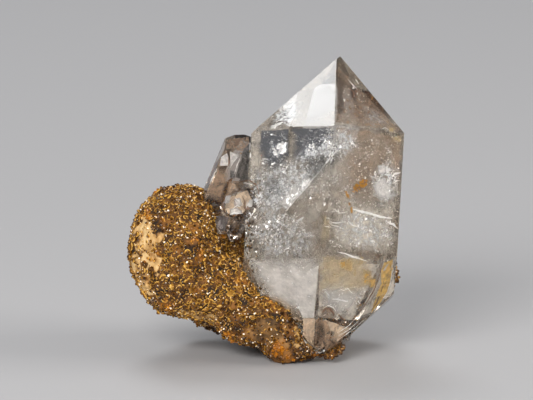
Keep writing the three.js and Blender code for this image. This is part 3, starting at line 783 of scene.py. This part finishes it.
def big_body(planes, grow=0.0):
    """The big crystal alone, as the convex mesh inside its planes, all moved out by grow."""
    planes = [(normal, distance + grow) for normal, distance in planes]
    corners = []
    for trio in itertools.combinations(planes, 3):
        normals = np.array([normal for normal, _ in trio])
        if abs(np.linalg.det(normals)) < PARALLEL:
            continue
        corner = Vector(np.linalg.solve(normals, [distance for _, distance in trio]))
        if all(normal.dot(corner) < distance + ON_PLANE for normal, distance in planes):
            corners.append(corner)
    bm = bmesh.new()
    for corner in corners:
        bm.verts.new(corner)
    bmesh.ops.remove_doubles(bm, verts=bm.verts, dist=MERGED)
    bmesh.ops.convex_hull(bm, input=bm.verts)
    return mesh_of(bm, "big_body")


# The quartz's edges are finely rounded. The long edge in front, by the pixel of its middle, is rounded less.
EDGE_WIDTH = 0.11 * MM
SHARP_EDGE = math.radians(15)
FRONT_EDGE = Vector((329.5, 190))
FRONT_EDGE_REACH = 12
FRONT_EDGE_WEIGHT = 0.2


def quartz_material():
    """Clear quartz, whose faces have faint growth ripples."""
    material, tree, shader = plain_shader(
        "clear_quartz", Base_Color=QUARTZ_COLOUR, Transmission_Weight=1.0, IOR=QUARTZ_IOR, Roughness=0.0
    )
    ripples = noise_of(tree, scale=240, detail=3)
    bump = add_node(tree, "Bump", {"Strength": 0.06, "Distance": 0.15 * MM, "Height": ripples})
    tree.links.new(bump.outputs["Normal"], shader.inputs["Normal"])
    absorb(tree, QUARTZ_ABSORPTION, QUARTZ_DENSITY)
    return material


def edge_material():
    """The rounded and finely chipped edges, which scatter light."""
    return plain_material(
        "quartz_edge", Base_Color=(0.98, 0.98, 0.97, 1), Roughness=0.35, Transmission_Weight=0.55, IOR=1.4
    )


def weigh_edges(bm):
    """Sets how broadly each edge is rounded: valleys and nearly flat edges aren't."""
    weight = bm.edges.layers.float.new("bevel_weight_edge")
    for edge in bm.edges:
        if edge.calc_face_angle_signed() > SHARP_EDGE:
            middle = (edge.verts[0].co + edge.verts[1].co) / 2
            in_front = (Vector(pixel_of(middle)) - FRONT_EDGE).length < FRONT_EDGE_REACH
            edge[weight] = FRONT_EDGE_WEIGHT if in_front else 1.0


def make_quartz():
    bm = whole_faces(quartz_mesh)
    weigh_edges(bm)
    quartz = add_piece("quartz_clear", mesh_of(bm, "quartz_clear"))
    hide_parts(QUARTZ_NODE)
    bevel = quartz.modifiers.new("edges", "BEVEL")
    bevel.width = EDGE_WIDTH
    bevel.segments = 2
    bevel.material = 1
    bevel.limit_method = "WEIGHT"
    quartz.data.materials.append(quartz_material())
    quartz.data.materials.append(edge_material())


def bodies(name, form, grains, material):
    """One piece of many small bodies of one form, from a list of (place, turn, size, tones)."""
    points, faces = form
    places, turns, sizes, tones = zip(*grains)
    shaped = points[None, :, :] * np.asarray(sizes)[:, None, :]
    turned = np.einsum("nij,nkj->nki", np.asarray(turns), shaped)
    placed = (turned + np.asarray(places)[:, None, :]).reshape(-1, 3)
    count = len(points)
    corners = [[i * count + c for c in face] for i in range(len(places)) for face in faces]
    mesh = bpy.data.meshes.new(name)
    mesh.from_pydata(placed.tolist(), [], corners)
    spread = np.broadcast_to(np.asarray(tones, np.float32).reshape(len(places), -1), (len(places), count))
    give_tones(mesh, np.clip(spread, 0, 1).ravel())
    mesh.materials.append(material)
    return add_piece(name, mesh)


def turn_towards(normal, roll, tilt, draw):
    """A rotation that stands a body on a surface, rolled about the normal and tilted at random."""
    leaning = Vector(normal) + Vector((draw.gauss(0, tilt), draw.gauss(0, tilt), draw.gauss(0, tilt)))
    stand = leaning.normalized().to_track_quat("Z", "Y")
    return np.array((stand @ Quaternion((0, 0, 1), roll)).to_matrix())


# A flake: a flat closed body with four faces
FLAKE = (
    np.array([(1, 0, -0.3), (-0.5, 0.87, -0.3), (-0.5, -0.87, -0.3), (0.1, 0, 0.5)]),
    [(0, 2, 1), (0, 1, 3), (1, 2, 3), (2, 0, 3)],
)

# Flakes lie where noise is high. They are thin and long, and most lean away from their veil's plane.
VEIL_SEED = 11
VEIL_COVER = 0.45
VEIL_CLOUDS = [(2.2, 1.1), (0.8, 0.66)]
VEIL_SWAY = [(9, 1.0)]
VEIL_SCATTER = 0.1
SMALLEST_FLAKE = 0.06
FLAKE_WIDTHS = (0.2, 0.8)
FLAKE_THICKNESS = 0.3
FLAKE_TILT = 0.6
GLINT_TILT = 0.14


def patch_point(corners, u, v):
    """A point of the patch between four points, going round it."""
    a, b, c, d = corners
    return a.lerp(b, u).lerp(d.lerp(c, u), v)


def veil_flakes(veil, draw):
    """A veil's flakes, each as its place, turn, size and tone."""
    corners = [inside(*corner) for corner in veil.corners]
    across = (corners[1] - corners[0]).cross(corners[3] - corners[0]).normalized()
    for _ in range(veil.flakes):
        u, v = draw.random(), draw.random()
        spot = patch_point(corners, u, v)
        if draw.random() > math.exp(-2 * veil.fade * v) * waves(spot, VEIL_CLOUDS, VEIL_COVER):
            continue
        bend = (waves(spot, VEIL_SWAY) + draw.gauss(0, VEIL_SCATTER)) * veil.bend * MM
        size = (SMALLEST_FLAKE + veil.largest * draw.random() ** 3) * MM
        place = spot + across * bend
        glints = draw.random() < veil.glints
        facing = glint_normal(place, across) if glints else across
        tilt = GLINT_TILT if glints else FLAKE_TILT
        turn = turn_towards(facing, draw.uniform(0, math.tau), tilt, draw)
        width = size * draw.uniform(*FLAKE_WIDTHS)
        yield place, turn, (size, width, size * FLAKE_THICKNESS), draw.random()


def make_veils():
    draw = random.Random(VEIL_SEED)
    flakes = [flake for veil in VEILS for flake in veil_flakes(veil, draw)]
    material = plain_material("healed_cracks", Base_Color=(0.98, 0.98, 0.98, 1), Metallic=0.6, Roughness=0.3)
    bodies("quartz_veils", FLAKE, flakes, material)


# A crack is parted into steps of CRACK_STEP pixels. Its width is ragged by noise and falls off from its
# middle to its ends, and it sways across its line. Thicknesses and pitches are in mm.
CRACK_STEP = 1.2
LEAST_CRACK_STEPS = 4
CRACK_RAG = 0.7
CRACK_RAG_PITCH = 0.5
CRACK_END = 0.08
CRACK_SWAY = [(0.9, 0.12)]
CRACK_THICKNESS = 0.03


def add_band(bm, ring, other):
    """The faces between two closed rings of as many points."""
    for i in range(len(ring)):
        j = (i + 1) % len(ring)
        bm.faces.new((ring[i], ring[j], other[j], other[i]))


def crack_ring(stops, depth, half_width, share, number):
    """The four points round a crack at a share of the way along its line, or None off the quartz."""
    way = share * (len(stops) - 1)
    first = min(int(way), len(stops) - 2)
    pixel = stops[first].lerp(stops[first + 1], way - first)
    spot = inside(pixel.x, pixel.y, depth)
    if spot is None:
        return None
    ahead = stops[first + 1] - stops[first]
    along = (CAMERA_RIGHT * ahead.x - CAMERA_UP * ahead.y).normalized()
    side = along.cross(CAMERA_FORWARD).normalized()
    ragged = 1 + CRACK_RAG * noise.noise(spot / (CRACK_RAG_PITCH * MM) + Vector((number, 0, 0)))
    taper = math.sin(math.pi * (CRACK_END + (1 - 2 * CRACK_END) * share))
    facing = glint_normal(spot, CAMERA_FORWARD)
    lean = along.cross(facing).normalized() * half_width * MM * ragged * taper
    thin = facing * CRACK_THICKNESS * MM
    centre = spot + side * waves(spot, CRACK_SWAY) * MM
    return centre + lean, centre + thin, centre - lean, centre - thin


def make_cracks(name, kind):
    """Thin closed ribbons along lines of pixels, widest in the middle and ragged along their edges."""
    bm = bmesh.new()
    for number, (depth, half_width, line) in enumerate(kind["lines"]):
        stops = [Vector((*pixel, 0)) for pixel in line]
        length = sum((b - a).length for a, b in zip(stops, stops[1:]))
        steps = max(LEAST_CRACK_STEPS, int(length / CRACK_STEP))
        found = [crack_ring(stops, depth, half_width, step / steps, number) for step in range(steps + 1)]
        rings = [[bm.verts.new(point) for point in ring] for ring in found if ring]
        for ring, other in zip(rings, rings[1:]):
            add_band(bm, ring, other)
        bm.faces.new(rings[0][::-1])
        bm.faces.new(rings[-1])
    bmesh.ops.recalc_face_normals(bm, faces=bm.faces)
    mesh = mesh_of(bm, name)
    mesh.materials.append(plain_material(name, **kind["shader"]))
    add_piece(name, mesh)


# A pane's outline is parted into steps of PANE_STEP pixels, and wanders as the noise of these pitches and
# weights. The cores say how far out from its middle a pane keeps its full thickness.
PANE_STEP = 2.0
PANE_WANDERS = [(0.35, 0.6), (0.1, 0.9)]
PANE_SEED = 3
PANE_THICKNESS = 0.03 * MM
SOFT_CORE = 0.5
CRISP_CORE = 0.8


def pane_outline(pane, number):
    """The outline of a pane as (pixel, pixel, tone), its sides parted into steps that wander a little."""
    corners = [Vector((*corner, 0)) for corner in pane.corners]
    outline = []
    for side, (a, b) in enumerate(zip(corners, corners[1:] + corners[:1])):
        steps = max(1, int((b - a).length / PANE_STEP))
        tone = 0.0 if pane.soft and side not in pane.crisp else pane.share
        for step in range(steps):
            spot = a.lerp(b, step / steps)
            away = Vector((0, 0, 0))
            for pitch, weight in PANE_WANDERS:
                away += noise.noise_vector(spot * pitch + Vector((0, 0, number))) * weight
            away *= pane.rag
            outline.append((spot.x + away.x, spot.y + away.y, tone))
    return outline


def make_panes(name, kind):
    """Thin closed sheets under the front faces, as one mesh with a tone that is 0 where a pane thins out."""
    bm = bmesh.new()
    tones = []
    for number, pane in enumerate(kind["panes"]):
        outline = [(inside(px, py, pane.depth), tone) for px, py, tone in pane_outline(pane, number)]
        outline = [(spot, tone) for spot, tone in outline if spot is not None]
        middle = sum((spot for spot, _ in outline), Vector()) / len(outline)
        core_share = SOFT_CORE if pane.soft else CRISP_CORE
        rims = []
        for back in (0, PANE_THICKNESS):
            shift = CAMERA_FORWARD * back
            rim = [bm.verts.new(spot + shift) for spot, _ in outline]
            core = [bm.verts.new(middle.lerp(spot, core_share) + shift) for spot, _ in outline]
            tones += [tone for _, tone in outline] + [pane.share] * len(core)
            bm.faces.new(core)
            add_band(bm, rim, core)
            rims.append(rim)
        front, rear = rims
        add_band(bm, rear, front)
    bmesh.ops.triangulate(bm, faces=[face for face in bm.faces if len(face.verts) > 4])
    bmesh.ops.recalc_face_normals(bm, faces=bm.faces)
    mesh = mesh_of(bm, name)
    give_tones(mesh, tones)
    material, tree, shader = plain_shader(name, **kind["shader"])
    cloud_alpha(tree, shader, kind["clouds"])
    mesh.materials.append(material)
    add_piece(name, mesh)


# Specks start just under the front face and lie where noise is high. They keep off the clear windows, and
# their areas' edges are ragged.
HAZE_SEED = 5
HAZE_FROM = 0.01
HAZE_COVER = 0.6
HAZE_CLOUDS = [(5, 1.2)]
HAZE_RAG = 0.3
WINDOW_EDGE = 0.8
WINDOW_RAG = 0.4
SMALLEST_SPECK = 0.03
SPECK_SPAN = 0.09


def haze_specks(cloud, draw):
    """The specks of a stretch of haze, each as its place, turn, size and tone."""
    for _ in range(cloud.specks):
        px = cloud.centre[0] + cloud.half[0] * draw.uniform(-1, 1)
        py = cloud.centre[1] + cloud.half[1] * draw.uniform(-1, 1)
        share = draw.uniform(HAZE_FROM, cloud.far)
        rag = draw.random()
        if cloud.oval and in_oval(px, py, cloud) > 1 + HAZE_RAG * rag:
            continue
        if any(in_oval(px, py, window) < WINDOW_EDGE + WINDOW_RAG * rag for window in CLEAR_WINDOWS):
            continue
        way = way_through(px, py)
        if way is None:
            continue
        place, direction, length = way
        spot = place + direction * length * share
        if draw.random() > waves(spot, HAZE_CLOUDS, HAZE_COVER):
            continue
        size = (SMALLEST_SPECK + SPECK_SPAN * draw.random() ** 3) * MM
        turn = turn_towards((0, 0, 1), draw.uniform(0, math.tau), 1, draw)
        yield spot, turn, (size, size, size), draw.random()


def make_haze():
    draw = random.Random(HAZE_SEED)
    specks = [speck for cloud in HAZE for speck in haze_specks(cloud, draw)]
    material = plain_material(
        "haze", Base_Color=(0.93, 0.9, 0.85, 1), Roughness=0.6, Transmission_Weight=0.4, IOR=1.2
    )
    bodies("quartz_haze", FLAKE, specks, material)


# Hazy layers: closed skins inside the big crystal, each at a share of the way from its heart to its faces.
# They swell and sink with noise, and thin out round the lines of sight through the clear windows.
HAZE_LAYERS = [0.74, 0.55, 0.36]
FARTHEST_OUT = 0.97
LAYER_STEPS = 5
LAYER_CLOUDS = Clouds(260, 9, 0.4, 0.64, 0.04, 0.55)
LAYER_SWELL = 0.12
LAYER_PITCH = 2.3
LAYER_SHIFT = 7
FACING = 1e-3
WINDOW_BEFORE = 2 * MM
WINDOW_CORE = 0.75
WINDOW_SLOPE = 2


def layer_material():
    material, tree, shader = plain_shader(
        "haze_layer",
        Base_Color=(0.97, 0.93, 0.87, 1),
        Roughness=0.9,
        Transmission_Weight=0.5,
        IOR=1.25,
        Specular_IOR_Level=0.2,
    )
    cloud_alpha(tree, shader, LAYER_CLOUDS)
    return material


def window_lines():
    """The lines of sight through the clear windows, as start, direction, length and radius."""
    lines = []
    for window in CLEAR_WINDOWS:
        place, direction, length = way_through(*window.centre)
        lines.append((place, direction, length, sum(window.half) / 2 / PIXELS_PER_MM * MM))
    return lines


def clear_share(spot, lines):
    """How far a spot lies from the clear windows: 0 in one, 1 well away from them."""
    share = 1.0
    for place, direction, length, radius in lines:
        along = (spot - place).dot(direction)
        if -WINDOW_BEFORE < along < length:
            away = (spot - place - direction * along).length / radius
            share = min(share, max(0.0, (away - WINDOW_CORE) * WINDOW_SLOPE))
    return share


def make_layers(planes):
    body = big_body(planes)
    heart = sum((vertex.co for vertex in body.vertices), Vector()) / len(body.vertices)
    lines = window_lines()
    bm = bmesh.new()
    tones = []
    for number, share in enumerate(HAZE_LAYERS):
        for vertex in bmesh.ops.create_icosphere(bm, subdivisions=LAYER_STEPS, radius=1)["verts"]:
            direction = vertex.co.normalized()
            reach = min(
                (distance - normal.dot(heart)) / normal.dot(direction)
                for normal, distance in planes
                if normal.dot(direction) > FACING
            )
            shift = Vector((number * LAYER_SHIFT, 0, 0))
            swell = 1 + LAYER_SWELL * noise.noise(direction * LAYER_PITCH + shift)
            vertex.co = heart + direction * reach * min(share * swell, FARTHEST_OUT)
            tones.append(clear_share(vertex.co, lines))
    mesh = mesh_of(bm, "quartz_haze_layers")
    give_tones(mesh, tones)
    mesh.polygons.foreach_set("use_smooth", [True] * len(mesh.polygons))
    mesh.materials.append(layer_material())
    add_piece("quartz_haze_layers", mesh)


# Tints of the small crystals: a body by its name, a place in mm that its crystal's middle is nearest to, a
# colour and a density. It lies TINT_INSET under the crystal's surface, and clear of the big crystal.
TINT_INSET = 0.12 * MM
TINT_GAP = 0.06 * MM
TINT_MERGED = 0.02 * MM
TINTS = [
    ("quartz_smoky_tint", (-4.9, 5.9, 39.0), (0.5, 0.34, 0.2), 90),
    ("quartz_crook_tint", (-6.1, -8.0, 30.9), (0.66, 0.43, 0.25), 40),
    ("quartz_foot_tint", (12.8, -8.2, 5.5), (0.5, 0.34, 0.22), 60),
]


def tint_material(name, colour, density):
    material, tree, _ = plain_shader(
        name, Base_Color=(1, 1, 1, 1), Roughness=0.0, Transmission_Weight=1.0, IOR=1.0
    )
    absorb(tree, colour, density)
    return material


def small_crystals(planes):
    """What stands out of the big crystal, as one bmesh."""
    small = new_object("small", quartz_mesh.copy())
    big = new_object("big", big_body(planes, TINT_GAP))
    cut = small.modifiers.new("cut", "BOOLEAN")
    cut.operation = "DIFFERENCE"
    cut.object = big
    depsgraph = bpy.context.evaluated_depsgraph_get()
    mesh = bpy.data.meshes.new_from_object(small.evaluated_get(depsgraph))
    bpy.data.objects.remove(small)
    bpy.data.objects.remove(big)
    bm = bmesh.new()
    bm.from_mesh(mesh)
    bmesh.ops.remove_doubles(bm, verts=bm.verts, dist=TINT_MERGED)
    bm.normal_update()
    return bm


def connected_groups(bm):
    """The sets of points that edges join."""
    groups = []
    left = set(bm.verts)
    while left:
        group = {left.pop()}
        queue = list(group)
        while queue:
            for edge in queue.pop().link_edges:
                fresh = [vertex for vertex in edge.verts if vertex in left]
                left.difference_update(fresh)
                group.update(fresh)
                queue.extend(fresh)
        groups.append(group)
    return groups


def middle_of(group):
    return sum((vertex.co for vertex in group), Vector()) / len(group)


def make_tints(planes):
    """Tinted bodies inside the small crystals, each slightly smaller than its crystal."""
    bm = small_crystals(planes)
    groups = connected_groups(bm)
    for name, near, colour, density in TINTS:
        group = min(groups, key=lambda g: (middle_of(g) - Vector(near) * MM).length)
        order = {vertex: i for i, vertex in enumerate(sorted(group, key=lambda v: v.index))}
        points = [vertex.co - vertex.normal * TINT_INSET for vertex in order]
        faces = [[order[v] for v in face.verts] for face in bm.faces if face.verts[0] in group]
        mesh = bpy.data.meshes.new(name)
        mesh.from_pydata(points, [], faces)
        mesh.materials.append(tint_material(name, colour, density))
        add_piece(name, mesh)
    bm.free()


# Bare stretches of the rock, as ovals of pixels on its front with ragged edges: what share of the grains
# grows there and how pale the rock is. Behind, the coat is thinner throughout.
Patch = namedtuple("Patch", "centre half share pale")
BARE_PATCHES = [
    Patch((148, 246), (11, 24), 0.42, 0.95),
    Patch((143, 287), (9, 15), 0.42, 0.95),
    Patch((137, 266), (5, 13), 0.5, 0.85),
    Patch((270, 332), (17, 11), 0.4, 0.12),
    Patch((299, 334), (4, 15), 0.6, 0.7),
    Patch((196, 318), (16, 7), 0.6, 0.7),
]
PATCH_RAG = [(2.4, 1.1), (0.9, 0.6)]
BACK_FROM = 12 * MM
BACK_SHARE = 0.45
LEAST_BACK_SHARE = 0.1
BACK_WAVES = [(4, 0.6)]
BACK_PALE = 0.8


def rock_cover(spot, normal):
    """How densely grains grow at a place of the rock, 1 being a full coat, and how pale the rock is there."""
    share, pale = 1.0, 0.0
    if normal.dot(CAMERA_FORWARD) < 0:
        px, py = pixel_of(spot)
        for patch in BARE_PATCHES:
            if in_oval(px, py, patch) < waves(spot, PATCH_RAG, 1):
                share, pale = patch.share, patch.pale
    if spot.y > BACK_FROM:
        share = min(share, max(LEAST_BACK_SHARE, waves(spot, BACK_WAVES, BACK_SHARE)))
        pale = BACK_PALE - share
    return share, max(pale, 0.0)


# The rock's colours by noise, where the druse covers it (partly painted shade in the gaps between the grains)
# and where it is bare, and its rusty stains
ROCK_SHADED_BED = [(0.38, (0.015, 0.006, 0.001)), (0.5, (0.09, 0.034, 0.004)), (0.62, (0.21, 0.085, 0.014))]
ROCK_BARE = [(0.34, (0.3, 0.14, 0.035)), (0.46, (0.58, 0.35, 0.13)), (0.64, (0.78, 0.55, 0.26))]
ROCK_STAINS = [(0.6, (0.0, 0.0, 0.0)), (0.72, (0.6, 0.6, 0.6))]
ROCK_STAIN = (0.36, 0.12, 0.008, 1)

# The rock's fine relief: the size of its cells, its height and pitch in mm, and from which height it starts
ROCK_CELL = 0.42 * MM
ROCK_CRUMB = 0.16
ROCK_CRUMB_PITCH = 1.1
ROCK_CRUMB_SHAPE = (0.9, 2.1, 3)
ROCK_CRUMB_FROM = 0.8 * MM


def rock_material():
    material, tree, shader = plain_shader("rock", Roughness=0.85)
    fine = noise_of(tree, scale=420, detail=7)
    stains = ramp_of(tree, noise_of(tree, scale=110, detail=3), ROCK_STAINS)
    # Under the druse the rock is dark, partly painted shade between the grains; bare rock is pale
    coat = mix_of(tree, tone_of(tree), ramp_of(tree, fine, ROCK_SHADED_BED), ramp_of(tree, fine, ROCK_BARE))
    tree.links.new(mix_of(tree, stains, coat, ROCK_STAIN), shader.inputs["Base Color"])
    return material


def make_rock():
    rock = new_object("rock_body", rock_mesh.copy())
    remesh = rock.modifiers.new("remesh", "REMESH")
    remesh.mode = "VOXEL"
    remesh.voxel_size = ROCK_CELL
    depsgraph = bpy.context.evaluated_depsgraph_get()
    mesh = bpy.data.meshes.new_from_object(rock.evaluated_get(depsgraph))
    rock.modifiers.clear()
    rock.data = mesh
    normals = [vertex.normal.copy() for vertex in mesh.vertices]
    tones = []
    for vertex, normal in zip(mesh.vertices, normals):
        spot = vertex.co.copy()
        tones.append(rock_cover(spot, normal)[1])
        if spot.z > ROCK_CRUMB_FROM:
            crumb = noise.fractal(spot / (ROCK_CRUMB_PITCH * MM), *ROCK_CRUMB_SHAPE)
            vertex.co = spot + normal * crumb * ROCK_CRUMB * MM
    give_tones(mesh, tones)
    mesh.materials.clear()
    mesh.materials.append(rock_material())
    mesh.polygons.foreach_set("use_smooth", [True] * len(mesh.polygons))
    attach(rock, BODY)
    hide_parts(ROCK_NODE)
    return rock


# A druse crystal: six-sided and pointed at both ends, with its lower half in the rock and 1 long along Z
RING = [(math.cos(i * math.pi / 3), math.sin(i * math.pi / 3)) for i in range(6)]
POINT = (
    np.array(
        [(x, y, 0.5) for x, y in RING]
        + [(0.5 * x, 0.5 * y, 0.82) for x, y in RING]
        + [(0.1, 0.05, 1.0), (0, 0, 0)]
    ),
    [(i, (i + 1) % 6, (i + 1) % 6 + 6, i + 6) for i in range(6)]
    + [(i + 6, (i + 1) % 6 + 6, 12) for i in range(6)]
    + [((i + 1) % 6, i, 13) for i in range(6)],
)

# Painted light and shade on a grain: lighter round its middle, a painted highlight, and darker nearer its
# tip, at the tip and at its lower end, painted shade
POINT_PAINTED_LIGHT = [0.26] * 6 + [-0.22] * 6 + [-0.28, -0.35]

# Two sowings of grains: large ones that nearly touch, then small ones between them. Sizes are radii in mm.
Sowing = namedtuple("Sowing", "tries spacing smallest largest")
SOWINGS = [Sowing(18000, 0.62, 0.34, 0.58), Sowing(26000, 0.36, 0.19, 0.3)]
SOWING_SEED = 3
SIZE_SKEW = 1.6

# Grains keep off the resting plane and the quartz. They lean, their lengths and widths are in radii, and a
# share of their length is sunk into the rock.
DRUSE_SEED = 7
LOWEST_GRAIN = 0.9 * MM
QUARTZ_GAP = 0.25 * MM
GRAIN_TILT = 0.42
GRAIN_LENGTHS = (1.5, 2.3)
GRAIN_WIDTHS = (0.75, 1)
SUNK_SHARE = 0.24

# Grains' tones are drawn about a middle one, follow broad noise, carry painted shade that darkens them near
# the resting plane, and are paler where the rock is. Some of the small ones have one of their six sides
# painted near white, as a painted glint.
TONE_SPREAD = (2.6, 3.2)
TONE_WAVES = [(6, 0.22)]
DULL_TONE = 0.54
PALER_GRAINS = 0.16
LOW_PAINTED_SHADE = 0.27
PAINTED_SHADE_BELOW = 13 * MM
PAINTED_GLINT_SHARE = 0.24
PAINTED_GLINT_UNDER = 0.47
PAINTED_GLINT_TONE = 1.3

# Single larger grains, by pixel, radius in mm and tone, how they lie, and how strongly their painted
# highlight and shade show
LARGE_GRAINS = [
    (182, 267, 0.95, 0.62),
    (170, 287, 0.85, 0.66),
    (231, 295, 1.0, 0.6),
    (216, 250, 0.75, 0.64),
    (219, 262, 0.7, 0.6),
    (156, 252, 0.65, 0.45),
    (205, 308, 0.9, 0.5),
    (172, 258, 0.7, 0.5),
    (253, 318, 0.7, 0.6),
    (190, 291, 0.8, 0.45),
]
LARGE_SUNK = 0.5
LARGE_TILT = 0.6
LARGE_WIDTH = 0.8
LARGE_LENGTH = 1.5
LARGE_PAINTED_LIGHT = 0.5

# The druse's colours by tone, its highest tones near white for the painted glints and highlights, and its
# rusty stains by noise
DRUSE_COLOURS = [
    (0.0, (0.02, 0.007, 0.001)),
    (0.3, (0.1, 0.036, 0.002)),
    (0.55, (0.35, 0.165, 0.02)),
    (0.8, (0.8, 0.49, 0.11)),
    (1.0, (0.9, 0.86, 0.8)),
]
DRUSE_STAINS = [(0.6, (0, 0, 0)), (0.68, (0.5, 0.5, 0.5))]
DRUSE_STAIN = (0.62, 0.21, 0.008, 1)


def surface_samples(mesh, count, draw):
    """Random points spread evenly over a mesh, with the normals there."""
    points, triangles = mesh_arrays(mesh)
    corners = points[triangles]
    cross = np.cross(corners[:, 1] - corners[:, 0], corners[:, 2] - corners[:, 0])
    areas = np.linalg.norm(cross, axis=1)
    chosen = draw.choice(len(areas), count, p=areas / areas.sum())
    u, v = draw.random((2, count, 1))
    root = np.sqrt(u)
    picked = corners[chosen]
    places = picked[:, 0] * (1 - root) + picked[:, 1] * root * (1 - v) + picked[:, 2] * root * v
    return places, cross[chosen] / areas[chosen][:, None]


def apart(places, spacing):
    """The indices of places that keep a distance from those kept before them."""
    cells = {}
    kept = []
    for i, place in enumerate(places):
        cell = tuple(np.floor(place / spacing).astype(int))
        around = [
            cells.get((cell[0] + x, cell[1] + y, cell[2] + z), ())
            for x, y, z in itertools.product((-1, 0, 1), repeat=3)
        ]
        if all(np.linalg.norm(place - other) >= spacing for near in around for other in near):
            cells.setdefault(cell, []).append(place)
            kept.append(i)
    return kept


def druse_material():
    material, tree, shader = plain_shader(
        "druse", Roughness=0.32, Specular_IOR_Level=0.3, Coat_Weight=0.06, Coat_Roughness=0.06
    )
    colours = ramp_of(tree, tone_of(tree), DRUSE_COLOURS)
    stains = ramp_of(tree, noise_of(tree, scale=210, detail=4), DRUSE_STAINS)
    tree.links.new(mix_of(tree, stains, colours, DRUSE_STAIN), shader.inputs["Base Color"])
    return material


def sow(rock, draw):
    """Where grains grow, as (spot, normal, radius in mm): the large ones first."""
    spots, normals, radii = [], [], []
    for number, sowing in enumerate(SOWINGS):
        seeded = np.random.default_rng(SOWING_SEED + number)
        found, upright = surface_samples(rock.data, sowing.tries, seeded)
        kept = apart(found, sowing.spacing * MM)
        spots += [found[i] for i in kept]
        normals += [upright[i] for i in kept]
        span = sowing.largest - sowing.smallest
        radii += [sowing.smallest + span * draw.random() ** SIZE_SKEW for _ in kept]
    free = apart(spots, SOWINGS[-1].spacing * MM)
    return [(Vector(spots[i]), Vector(normals[i]), radii[i]) for i in free]


def large_grains(rock, draw):
    """The single larger grains, each as its place, turn, size and tones."""
    tree = tree_of(rock.data)
    for px, py, radius, tone in LARGE_GRAINS:
        spot, normal, _, _ = tree.ray_cast(*camera_ray(px, py))
        turn = turn_towards(normal, draw.uniform(0, math.tau), LARGE_TILT, draw)
        size = (radius * MM, radius * LARGE_WIDTH * MM, radius * LARGE_LENGTH * MM)
        # Painted highlight and shade on the grain's points, half as strong as on the small grains
        tones = [tone + change * LARGE_PAINTED_LIGHT for change in POINT_PAINTED_LIGHT]
        yield spot - normal * radius * LARGE_SUNK * MM, turn, size, tones


def grain_tones(spot, radius, pale, draw):
    """The tones of a grain's points, with painted light and shade. One side of some small grains is painted
    near white as a glint.
    """
    tone = min(draw.betavariate(*TONE_SPREAD) + waves(spot, TONE_WAVES), DULL_TONE)
    # Painted shade darkens grains near the resting plane
    tone += pale * PALER_GRAINS - max(0, 1 - spot.z / PAINTED_SHADE_BELOW) * LOW_PAINTED_SHADE
    # Painted highlight round the grain's middle and painted shade towards its ends
    tones = [tone + change for change in POINT_PAINTED_LIGHT]
    # Painted glint: one side of some small grains is near white
    if radius < PAINTED_GLINT_UNDER and draw.random() < PAINTED_GLINT_SHARE:
        side = draw.randrange(6)
        for corner in (side, (side + 1) % 6, side + 6, (side + 1) % 6 + 6):
            tones[corner] = PAINTED_GLINT_TONE
    return tones


def small_grains(rock, draw):
    """The grains of the coat, each as its place, turn, size and tones."""
    for spot, normal, radius in sow(rock, draw):
        share, pale = rock_cover(spot, normal)
        if spot.z < LOWEST_GRAIN or draw.random() > share:
            continue
        if quartz_tree.find_nearest(spot)[3] < QUARTZ_GAP:
            continue
        length = radius * draw.uniform(*GRAIN_LENGTHS)
        turn = turn_towards(normal, draw.uniform(0, math.tau), GRAIN_TILT, draw)
        size = (radius * MM, radius * draw.uniform(*GRAIN_WIDTHS) * MM, length * MM)
        place = spot - normal * length * SUNK_SHARE * MM
        yield place, turn, size, grain_tones(spot, radius, pale, draw)


def make_druse(rock):
    """The coat of grains, in a left and a right half."""
    draw = random.Random(DRUSE_SEED)
    grains = [*large_grains(rock, draw), *small_grains(rock, draw)]
    grains.sort(key=lambda grain: grain[0].x)
    half = len(grains) // 2
    material = druse_material()
    bodies("rock_druse_left", POINT, grains[:half], material)
    bodies("rock_druse_right", POINT, grains[half:], material)


def render_settings():
    cycles = bpy.context.scene.cycles
    cycles.max_bounces = BOUNCES
    cycles.transmission_bounces = CLEAR_BOUNCES
    cycles.transparent_max_bounces = SHEET_BOUNCES
    bpy.context.scene.view_settings.view_transform = "Standard"


make_camera()
make_lights()
make_world()
make_floor()
make_quartz()
make_veils()
for kind_name, crack_kind in CRACKS.items():
    make_cracks(kind_name, crack_kind)
noise.seed_set(PANE_SEED)
for kind_name, pane_kind in PANES.items():
    make_panes(kind_name, pane_kind)
make_haze()
faces_of_big = big_planes()
make_layers(faces_of_big)
make_tints(faces_of_big)
make_druse(make_rock())
render_settings()
